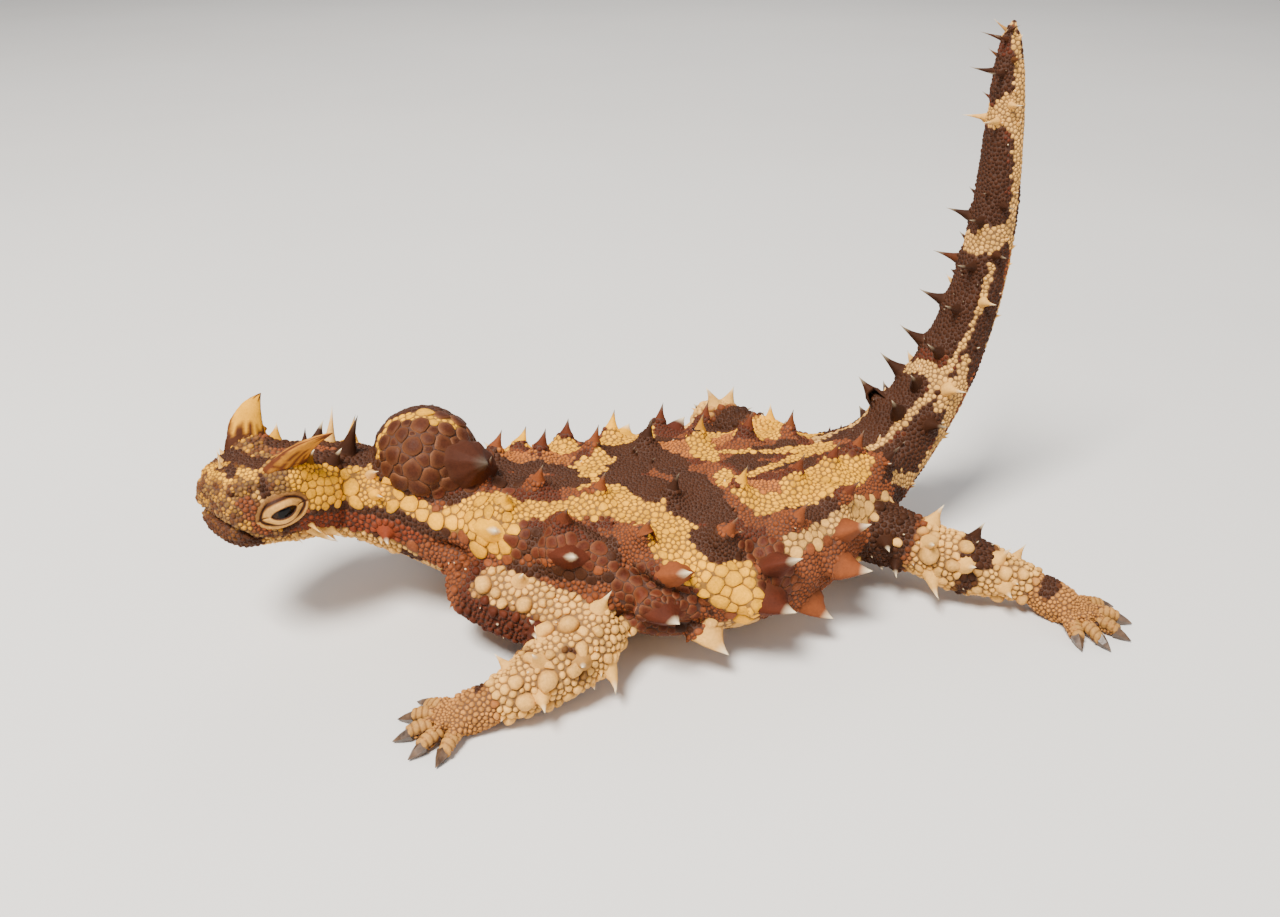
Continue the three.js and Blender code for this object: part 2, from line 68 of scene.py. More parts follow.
# the midline from snout to tail tip: x, y, z, turn to its left, half width, height above, height below
midline = {
    "snout": (-59.4, -4.2, 21.6, 30, 3.7, 3.6, 3.6),
    "muzzle": (-57.8, -3.2, 21.6, 30, 5.5, 5.0, 5.2),
    "eyes": (-54.2, -1.1, 21.3, 30, 6.4, 5.5, 5.8),
    "cheeks": (-50.6, 1.0, 20.8, 27, 7.5, 5.4, 6.4),
    "occiput": (-46.4, 2.8, 20.2, 20, 7.0, 4.9, 6.6),
    "neck": (-41.0, 3.2, 18.8, 13, 6.8, 4.6, 7.0),
    "nape": (-34.0, 1.4, 16.6, 8, 8.0, 4.6, 7.6),
    "shoulders": (-27.0, -1.0, 14.6, 5, 9.8, 6.2, 8.6),
    "chest": (-19.0, -3.6, 12.8, 4, 13.2, 7.6, 9.6),
    "ribs": (-9.0, -5.8, 11.7, 2, 17.8, 8.3, 10.0),
    "belly": (2.0, -6.6, 11.2, 0, 20.2, 8.4, 9.8),
    "flank": (12.2, -6.0, 11.2, -1, 18.2, 8.0, 9.4),
    "loin": (20.6, -4.4, 11.3, -2, 13.2, 7.0, 8.4),
    "pelvis": (27.4, -2.8, 11.8, -2, 9.8, 6.2, 7.0),
    "tailRoot": (33.2, -1.4, 13.6, -1, 7.2, 5.6, 5.8),
    "tailRise": (38.6, -0.6, 18.8, 0, 5.9, 4.9, 4.9),
    "tailBend": (43.6, -0.2, 27.0, 0, 4.8, 4.2, 4.2),
    "tailMiddle": (46.8, 0, 37.4, 0, 3.9, 3.6, 3.6),
    "tailUpper": (47.9, 0, 48.2, 0, 3.3, 3.1, 3.1),
    "tailHigh": (47.6, 0, 59.0, 0, 2.8, 2.6, 2.6),
    "tailEnd": (46.7, 0, 69.0, 0, 2.1, 2.0, 2.0),
    "tailTip": (45.9, 0, 74.6, 0, 1.1, 1.0, 1.0),
}
stationNames = list(midline)
stationRows = np.array([midline[name] for name in stationNames], float)

# joints of the legs, in mm: shoulder or hip, elbow or knee, wrist or ankle, heel of the hand or foot
legJoints = {
    "fore_left": ((-28.4, -10.4, 9.4), (-15.1, -23.3, 6.7), (-27.8, -27.4, 3.8), (-32.6, -27.0, 1.9)),
    "fore_right": ((-28, 5, 10.2), (-19, 18, 7.9), (-32, 22.4, 3.8), (-37, 23.4, 1.9)),
    "hind_left": ((21.5, -8, 10.5), (34, -17.7, 7.3), (46, -23.8, 4.0), (49.8, -27.8, 1.9)),
    "hind_right": ((22, 3, 11.5), (14.5, 18.9, 12.2), (21.5, 27, 4.2), (19.6, 31.2, 1.9)),
}
legNames = list(legJoints)


def unit(way):
    return way / np.linalg.norm(way)


def units(ways):
    return ways / np.linalg.norm(ways, axis=1)[:, None]


def rowsOf(table, chosen):
    return {name: values[chosen] for name, values in table.items()}


def inFrame(spots):
    return (np.asarray(spots, float) - boxCentre) * mm


def inAnimal(spots):
    return np.asarray(spots, float) / mm + boxCentre


def stationAt(u):
    u = np.clip(np.atleast_1d(np.asarray(u, float)), 0, len(stationRows) - 1)
    i = np.minimum(u.astype(int), len(stationRows) - 2)
    t = (u - i)[:, None]
    last = len(stationRows) - 1
    a, b, c, d = [stationRows[np.clip(i + k, 0, last)] for k in (-1, 0, 1, 2)]
    bend = (2 * a - 5 * b + 4 * c - d) * t**2 + (3 * b - a - 3 * c + d) * t**3
    return 0.5 * (2 * b + (c - a) * t + bend)


def sectionFrames(u):
    size = stationAt(u)
    back = units(stationAt(np.asarray(u) + 0.05)[:, :3] - stationAt(np.asarray(u) - 0.05)[:, :3])
    turn = np.radians(size[:, 3])
    left = np.stack([np.sin(turn), -np.cos(turn), 0 * turn], 1)
    left -= back * (left * back).sum(1)[:, None]
    left = units(left)
    return size[:, :3], back, left, np.cross(left, back), size


cornerPower = {"upper": 0.88, "lower": 0.76}  # 1 gives an ellipse, less gives fuller corners


def rounded(wave, power):
    return np.sign(wave) * np.abs(wave) ** power


def bodyPoint(u, degrees):
    centre, back, left, up, size = sectionFrames(np.atleast_1d(u))
    around = np.radians(np.atleast_1d(degrees))
    upper = np.cos(around) > 0
    power = np.where(upper, cornerPower["upper"], cornerPower["lower"])
    across = rounded(np.sin(around), power) * size[:, 4]
    rise = rounded(np.cos(around), power) * np.where(upper, size[:, 5], size[:, 6])
    return centre + left * across[:, None] + up * rise[:, None]


# how far along the midline and how far round a place on the hide is
sampleStations = np.arange(0, len(stationRows) - 1 + 1e-6, 0.05)
sampleFrames = sectionFrames(sampleStations)
stationPerMm = 0.02
batch = 8000  # so many places are worked out at once


def placeOnBody(spots):
    found = np.empty((len(spots), 3))
    for start in range(0, len(spots), batch):
        here = slice(start, start + batch)
        part = spots[here]
        apart = ((part[:, None] - sampleFrames[0][None]) ** 2).sum(2)
        k = apart.argmin(1)
        centre, back, left, up, size = [rows[k] for rows in sampleFrames]
        off = part - centre
        ahead = (off * back).sum(1)
        across, rise = (off * left).sum(1), (off * up).sum(1)
        high = np.where(rise > 0, size[:, 5], size[:, 6])
        reach = np.hypot(across / size[:, 4], rise / high)
        found[here, 0] = sampleStations[k] + ahead * stationPerMm
        found[here, 1] = np.degrees(np.arctan2(across / size[:, 4], rise / high))
        found[here, 2] = (reach - 1) * np.hypot(across, rise) / np.maximum(reach, 1e-6)
    return found


# radii of the legs at each joint and at the toes, in mm
legRadii = {"fore": (5.1, 4.6, 3.2, 2.6, 1.6), "hind": (5.2, 4.3, 3.1, 2.5, 1.6)}
toesPastHeel = 1.2  # how far the toes reach past the heel, as a share of the way from wrist to heel


def placeOnLegs(spots):
    count = len(spots)
    best = np.full(count, 1e9)
    leg = np.full(count, -1)
    share = np.zeros(count)
    around = np.zeros(count)
    for k, name in enumerate(legNames):
        joints = np.array(legJoints[name], float)
        joints = np.vstack([joints, joints[3] + (joints[3] - joints[2]) * toesPastHeel])
        radii = legRadii[name[:4]]
        for s in range(4):
            start, step = joints[s], joints[s + 1] - joints[s]
            along = np.clip((spots - start) @ step / (step @ step), 0, 1)
            off = spots - (start + along[:, None] * step)
            gap = np.linalg.norm(off, axis=1) - (radii[s] + (radii[s + 1] - radii[s]) * along)
            way = unit(step)
            side = unit(np.cross(way, (0, 0, 1)))
            top = np.cross(side, way)
            better = gap < best
            best[better] = gap[better]
            leg[better] = k
            share[better] = (s + along)[better]
            around[better] = np.degrees(np.arctan2(off @ side, off @ top))[better]
    return leg, share, around, best


# a place is on a leg if the leg is nearer than the body by the lead, or close while the body is off
legRule = {"lead": 0.4, "close": 0.8, "off": 1.2}


def places(spots):
    body = placeOnBody(spots)
    leg, share, around, gap = placeOnLegs(spots)
    nearer = gap < body[:, 2] - legRule["lead"]
    onLeg = nearer | ((gap < legRule["close"]) & (body[:, 2] > legRule["off"]))
    return {
        "station": body[:, 0], "degrees": body[:, 1], "bodyGap": body[:, 2],
        "leg": np.where(onLeg, leg, -1), "share": share, "around": around,
    }


# the flesh of the frame becomes one hide
fleshNodes = ["head", "lower_jaw", "neck", "trunk", "tail_base", "tail_middle", "tail_tip", "nape_knob"]
fleshNodes += [f"{leg}_{part}" for leg in legNames for part in ("upper", "lower", "foot")]
hidePlan = {
    "voxel": 0.45, "quickVoxel": 0.6, "weld": 2e-6, "grow": 0.2, "rounds": 16, "ease": 0.3,
    "footFirm": 0.8, "headFirm": 0.35, "flatten": 46, "press": 0.95, "coatDepth": 0.26, "footDepth": 0.12,
    "lowest": 0.05, "tipAngle": 200, "tipHeight": 0.8,
}


def angleSum(vert):
    total = 0
    for face in vert.link_faces:
        ends = [v.co - vert.co for v in face.verts if v is not vert]
        total += ends[0].angle(ends[1], 0)
    return math.degrees(total)


def gatherFlesh():
    flesh = bmesh.new()
    tips = []
    for name in fleshNodes:
        part = bmesh.new()
        part.from_mesh(bpy.data.objects[name].data)
        bmesh.ops.remove_doubles(part, verts=part.verts, dist=hidePlan["weld"])
        bmesh.ops.recalc_face_normals(part, faces=part.faces)
        part.normal_update()
        for vert in part.verts:
            if angleSum(vert) < hidePlan["tipAngle"]:
                ring = [edge.other_vert(vert).co for edge in vert.link_edges]
                foot = sum(ring, Vector()) / len(ring)
                spread = max((spot - foot).length for spot in ring)
                if (vert.co - foot).length > hidePlan["tipHeight"] * mm:
                    tips.append((name, inAnimal(vert.co), inAnimal(foot), spread / mm))
        for vert in part.verts:
            vert.co += vert.normal * hidePlan["grow"] * mm
        for vert in part.verts:
            vert.co /= mm
        grown = bpy.data.meshes.new("grown")
        part.to_mesh(grown)
        flesh.from_mesh(grown)
        part.free()
        bpy.data.meshes.remove(grown)
    return flesh, tips


def remeshed(flesh):
    mesh = bpy.data.meshes.new("flesh")
    flesh.to_mesh(mesh)
    flesh.free()
    lump = bpy.data.objects.new("flesh", mesh)
    bpy.context.collection.objects.link(lump)
    knit = lump.modifiers.new("knit", "REMESH")
    knit.mode = "VOXEL"
    knit.voxel_size = hidePlan["voxel"]
    knit.adaptivity = 0
    bpy.context.view_layer.update()
    whole = bpy.data.meshes.new_from_object(lump.evaluated_get(bpy.context.evaluated_depsgraph_get()))
    bpy.data.objects.remove(lump)
    bpy.data.meshes.remove(mesh)
    return whole


def vertexArray(mesh):
    spots = np.empty(len(mesh.vertices) * 3)
    mesh.vertices.foreach_get("co", spots)
    return spots.reshape(-1, 3)


def edgeArray(mesh):
    ends = np.empty(len(mesh.edges) * 2, int)
    mesh.edges.foreach_get("vertices", ends)
    return ends.reshape(-1, 2)


def averaged(values, edges):
    total = np.stack([
        np.bincount(edges[:, 0], values[edges[:, 1], k], len(values))
        + np.bincount(edges[:, 1], values[edges[:, 0], k], len(values)) for k in range(3)], 1)
    count = np.bincount(edges.ravel(), minlength=len(values))
    return total / np.maximum(count, 1)[:, None]


def normalArray(mesh):
    ways = np.empty(len(mesh.vertices) * 3)
    mesh.vertex_normals.foreach_get("vector", ways)
    return ways.reshape(-1, 3)


# thorns the frame leaves out: station, degrees, length, foot radius, lean to the back, shade of the spike
napeThorns = [
    (4.55, 5, 5.0, 1.9, 0.1, "dark"), (4.3, -24, 4.4, 1.1, 0.1, "cream"),
    (5.1, 44, 3.3, 1.1, 0.3, "cream"), (3.75, -14, 1.7, 0.8, 0.2, "dark"),
    (3.0, 108, 1.2, 0.6, 0.3, "cream"), (2.4, 122, 1.3, 0.6, 0.2, "cream"),
    (1.7, 122, 1.0, 0.5, 0.2, "cream"), (3.9, 132, 1.6, 0.8, 0.6, "cream"),
    (1.4, -28, 1.3, 0.6, 0.0, "cream"), (1.65, -42, 1.5, 0.7, 0.0, "cream"),
    (1.2, -12, 0.9, 0.5, 0.0, "cream"),
]


def napeTips():
    tips = []
    for station, turn, high, wide, lean, shade in napeThorns:
        centre, back, left, up, size = [rows[0] for rows in sectionFrames(np.array([station]))]
        foot = bodyPoint(station, turn)[0]
        way = unit(foot - centre) + back * lean
        tips.append(("nape_" + shade, foot + unit(way) * high, foot, wide))
    return tips


flesh, thornTips = gatherFlesh()
thornTips += napeTips()
hideMesh = remeshed(flesh)
hideSpots = vertexArray(hideMesh) + boxCentre
hideEdges = edgeArray(hideMesh)
print("hide knitted:", len(hideSpots), "vertices,", len(thornTips), "thorn tips")

# where feet begin along a leg and where the head ends along the midline, each with the width of the change
footFrom, headTo = (1.9, 0.5), (3.4, 0.8)
place = places(hideSpots)
footShare = np.where(place["leg"] >= 0, np.clip((place["share"] - footFrom[0]) / footFrom[1], 0, 1), 0)
headShare = np.clip((headTo[0] - place["station"]) / headTo[1], 0, 1) * (place["leg"] < 0)

# radius of the mound under a thorn, from the spread of its foot in the frame
moundRadius = {
    "trunkShare": 0.42, "trunk": (2.0, 3.1), "knob": 4.6, "tail": 0.5, "limb": 1.15, "limbs": (1.2, 2.0),
}


def footRadius(name, foot, spread):
    if name == "trunk":
        return min(max(spread / moundRadius["trunkShare"], moundRadius["trunk"][0]), moundRadius["trunk"][1])
    if name == "nape_knob":
        return moundRadius["knob"]
    if name.startswith("nape_"):
        return spread
    if name.startswith("tail"):
        return moundRadius["tail"] * stationAt(placeOnBody(foot[None])[0, 0])[0, 4]
    return min(max(spread * moundRadius["limb"], moundRadius["limbs"][0]), moundRadius["limbs"][1])


thornFeet = np.array([footRadius(name, foot, spread) for name, tip, foot, spread in thornTips])
nearThorn = np.zeros(len(hideSpots))
thornDegrees = np.abs(placeOnBody(np.array([foot for name, tip, foot, spread in thornTips]))[:, 1])
backThorns = 57  # degrees from the middle of the back within which a thorn of the trunk stands on a mound
onMound = np.array([name.startswith("tail") or (name == "trunk" and turn < backThorns)
                    for (name, tip, foot, spread), turn in zip(thornTips, thornDegrees)])
for (name, tip, foot, spread), radius in zip(thornTips, thornFeet):
    way = unit(tip - foot)
    off = hideSpots - foot
    along = off @ way
    away = np.linalg.norm(off - along[:, None] * way, axis=1)
    near = np.clip((radius + 0.9 - away) / 0.5, 0, 1) * (along > -2.2) * (along < 6)
    nearThorn = np.maximum(nearThorn, near)
ease = hidePlan["ease"] * (1 - hidePlan["footFirm"] * footShare) * (1 - hidePlan["headFirm"] * headShare)
for turn in range(hidePlan["rounds"]):
    hideSpots = hideSpots + (averaged(hideSpots, hideEdges) - hideSpots) * ease[:, None]
for turn in range(hidePlan["flatten"]):  # the thorns of the frame sink to low mounds
    press = hidePlan["press"] * nearThorn
    hideSpots = hideSpots + (averaged(hideSpots, hideEdges) - hideSpots) * press[:, None]
hideMesh.vertices.foreach_set("co", hideSpots.ravel())
hideMesh.update()

# folds and lumps as strokes of station and degrees; half width and depth in mm, a lump has a depth below 0
folds = {
    "nostril": {"points": [(0.72, 46), (0.8, 50)], "half": 0.4, "depth": 0.6, "both": True,
                "blunt": True},
    "browMound": {"points": [(2.05, 40), (2.75, 34)], "half": 2.3, "depth": -1.0, "both": True,
                  "blunt": True},
    "snoutRidge": {"points": [(0.6, 34), (1.2, 38), (1.7, 44)], "half": 0.9, "depth": -0.5, "both": True},
    "lip": {"points": [(0.1, 86), (0.6, 92), (1.1, 100), (1.7, 113), (2.6, 117)], "half": 0.6,
            "depth": -0.4, "both": True},
    "shoulderLump": {"points": [(7.3, 62), (7.8, 62)], "half": 2.7, "depth": -0.9, "both": True,
                     "blunt": True},
    "flankLumpA": {"points": [(8.25, 58), (8.6, 58)], "half": 2.6, "depth": -0.7, "both": True,
                   "blunt": True},
    "flankLumpB": {"points": [(9.2, 82), (9.4, 92)], "half": 2.8, "depth": -0.9, "both": True,
                   "blunt": True},
    "flankLumpC": {"points": [(9.1, 110), (9.6, 112)], "half": 2.0, "depth": -0.7, "both": True,
                   "blunt": True},
    "flankLumpD": {"points": [(9.85, 74), (10.05, 90)], "half": 2.6, "depth": -0.8, "both": True,
                   "blunt": True},
    "hipLump": {"points": [(11.5, 36), (12.2, 38)], "half": 2.8, "depth": -0.6, "both": True,
                "blunt": True},
    "neckFoldLeft": {"points": [(4.35, 30), (4.38, 60), (4.42, 95), (4.5, 125)], "half": 0.5,
                     "depth": 0.75},
    "neckFoldRight": {"points": [(4.35, -30), (4.38, -60), (4.42, -95), (4.5, -125)], "half": 0.5,
                      "depth": 0.75},
    "shoulderFold": {"points": [(6.4, 100), (6.9, 96), (7.5, 98), (8.1, 96), (8.6, 104)], "half": 0.9,
                     "depth": 1.3},
    "flankFold": {"points": [(8.95, 48), (9.0, 66), (9.22, 77), (9.5, 82), (9.7, 92), (9.8, 100)],
                  "half": 0.85, "depth": 1.7},
    "flankFoldRight": {"points": [(8.95, -50), (9.0, -66), (9.3, -77), (9.6, -84), (9.9, -96)],
                       "half": 0.85, "depth": 1.7},
    "flankFoldLow": {"points": [(8.7, 96), (9.1, 102), (9.5, 104), (9.9, 102)], "half": 0.7,
                     "depth": 1.4},
    "bandFold": {"points": [(7.95, 68), (8.2, 44), (8.6, 38), (8.95, 46)], "half": 0.8, "depth": 0.6},
    "darkFold": {"points": [(9.7, 38), (9.9, 56), (10.1, 62), (10.2, 50)], "half": 0.7, "depth": 0.6},
    "sideFold": {"points": [(10.25, 44), (10.3, 60), (10.36, 80), (10.42, 104)], "half": 1.0,
                 "depth": 1.1},
    "sideFoldRight": {"points": [(10.4, -44), (10.5, -60), (10.5, -80), (10.6, -104)], "half": 0.9,
                      "depth": 0.7},
}


def strokePoints(points, fine=7):
    stations = np.array([p[0] for p in points], float)
    turns = np.array([p[1] for p in points], float)
    extra = np.array([p[2] if len(p) > 2 else 0 for p in points], float)
    t = np.linspace(0, len(points) - 1, (len(points) - 1) * fine + 1)
    steps = np.arange(len(points))
    return bodyPoint(np.interp(t, steps, stations), np.interp(t, steps, turns)), np.interp(t, steps, extra)


def strokeGap(spots, line):
    gap = np.full(len(spots), 1e9)
    share = np.zeros(len(spots))
    for k in range(len(line) - 1):
        step = line[k + 1] - line[k]
        along = np.clip((spots - line[k]) @ step / max(step @ step, 1e-9), 0, 1)
        away = np.linalg.norm(spots - line[k] - along[:, None] * step, axis=1)
        better = away < gap
        gap[better] = away[better]
        share[better] = (k + along)[better] / (len(line) - 1)
    return gap, share


# the mouth runs along both jaws and meets at this height on the front of the snout; dark is how far from it,
# in mm, the hide is darkened as painted shade in the slit
mouth = {
    "points": [(0, 100), (0.4, 103), (0.8, 108), (1.2, 118), (1.7, 127), (2.3, 130), (2.9, 127), (3.3, 121)],
    "front": 20.66, "half": 0.42, "depth": 0.9, "clear": 0.3, "dark": 0.5,
}


def mouthGap(spots):
    gap = np.full(len(spots), 1e9)
    near = spots[:, 0] < -46
    for side in (1, -1):
        line = strokePoints([(station, turn * side) for station, turn in mouth["points"]])[0]
        gap[near] = np.minimum(gap[near], strokeGap(spots[near], line)[0])
    centre, back = [rows[0] for rows in sectionFrames(np.array([0.0]))[:2]]
    ahead = (centre - spots) @ back
    front = (ahead > 0) & (ahead < 5)
    gap[front] = np.minimum(gap[front], np.abs(spots[front, 2] - mouth["front"]))
    return gap


def sunkBy(spots):
    sink = mouth["depth"] * np.exp(-(mouthGap(spots) / mouth["half"]) ** 2)
    for fold in folds.values():
        for side in ((1, -1) if fold.get("both") else (1,)):
            line = strokePoints([(station, turn * side) for station, turn in fold["points"]])[0]
            near = np.linalg.norm(spots - line.mean(0), axis=1) < 22
            gap, share = strokeGap(spots[near], line)
            ends = 1 if fold.get("blunt") else np.clip(np.minimum(share, 1 - share) * 6, 0, 1)
            sink[near] += fold["depth"] * np.exp(-(gap / fold["half"]) ** 2) * ends
    return sink


# the clefts between the toes, in mm
cleft = {"half": 0.5, "depth": 1.15, "out": 1.4, "in": 2.0, "above": 0.35}


def clawEnds(leg, k):
    heel = np.array(legJoints[leg][3], float)
    spots = inAnimal(vertexArray(bpy.data.objects[f"{leg}_claw_{k}"].data))
    away = np.linalg.norm((spots - heel)[:, :2], axis=1)
    return spots[away < np.percentile(away, 25)].mean(0), spots[away.argmax()]


toeEnds = {leg: [clawEnds(leg, k) for k in range(1, 6)] for leg in legNames}


def cleftLines():
    lines = []
    for leg, ends in toeEnds.items():
        heel = np.array(legJoints[leg][3], float)
        for before, after in zip(ends, ends[1:]):
            middle = (before[0] + after[0]) / 2
            inward = unit(heel - middle)
            lines.append(np.array([middle - inward * cleft["out"], middle + inward * cleft["in"]]))
    return lines


def cleftShare(spots):
    share = np.zeros(len(spots))
    for line in cleftLines():
        near = np.linalg.norm(spots - line.mean(0), axis=1) < 6
        flat = (1, 1, 0)
        gap = strokeGap(spots[near] * flat, line * flat)[0]
        share[near] = np.maximum(share[near], np.exp(-(gap / cleft["half"]) ** 2))
    return share * np.clip((spots[:, 2] - cleft["above"]) / 0.4, 0, 1)


# the tents of hide under the thorns of the back, in mm
moundPlan = {"high": 1.4, "spread": 1.7, "reach": 5.0}


def moundLift(spots):
    lift = np.zeros(len(spots))
    for (name, tip, foot, spread), mound in zip(thornTips, onMound):
        if mound and name == "trunk":
            away = np.linalg.norm(spots - foot, axis=1)
            near = away < moundPlan["reach"]
            rise = np.exp(-np.maximum(away[near] - 0.5, 0) / moundPlan["spread"])
            lift[near] = np.maximum(lift[near], moundPlan["high"] * rise)
    return lift


sunk = sunkBy(hideSpots) - moundLift(hideSpots) + cleft["depth"] * cleftShare(hideSpots)
hideSpots = hideSpots - normalArray(hideMesh) * sunk[:, None]
depth = hidePlan["coatDepth"] + (hidePlan["footDepth"] - hidePlan["coatDepth"]) * footShare
hideSpots = hideSpots - normalArray(hideMesh) * depth[:, None]
hideSpots[:, 2] = np.maximum(hideSpots[:, 2], hidePlan["lowest"])
hideMesh.vertices.foreach_set("co", hideSpots.ravel())
hideMesh.update()
hideWays = normalArray(hideMesh)
hideMesh.calc_loop_triangles()
hideTriangles = np.empty(len(hideMesh.loop_triangles) * 3, int)
hideMesh.loop_triangles.foreach_get("vertices", hideTriangles)
hideTriangles = hideTriangles.reshape(-1, 3)
hideTree = BVHTree.FromPolygons(hideSpots.tolist(), hideTriangles.tolist())
print("hide shaped:", len(hideTriangles), "triangles")


def ontoHide(spots):
    found = np.empty((len(spots), 3))
    ways = np.empty((len(spots), 3))
    for k, spot in enumerate(spots.tolist()):
        where, way, face, gap = hideTree.find_nearest(spot)
        found[k] = where
        corner = hideTriangles[face]
        ways[k] = hideWays[corner].sum(0)
    ways /= np.maximum(np.linalg.norm(ways, axis=1), 1e-9)[:, None]
    return found, ways


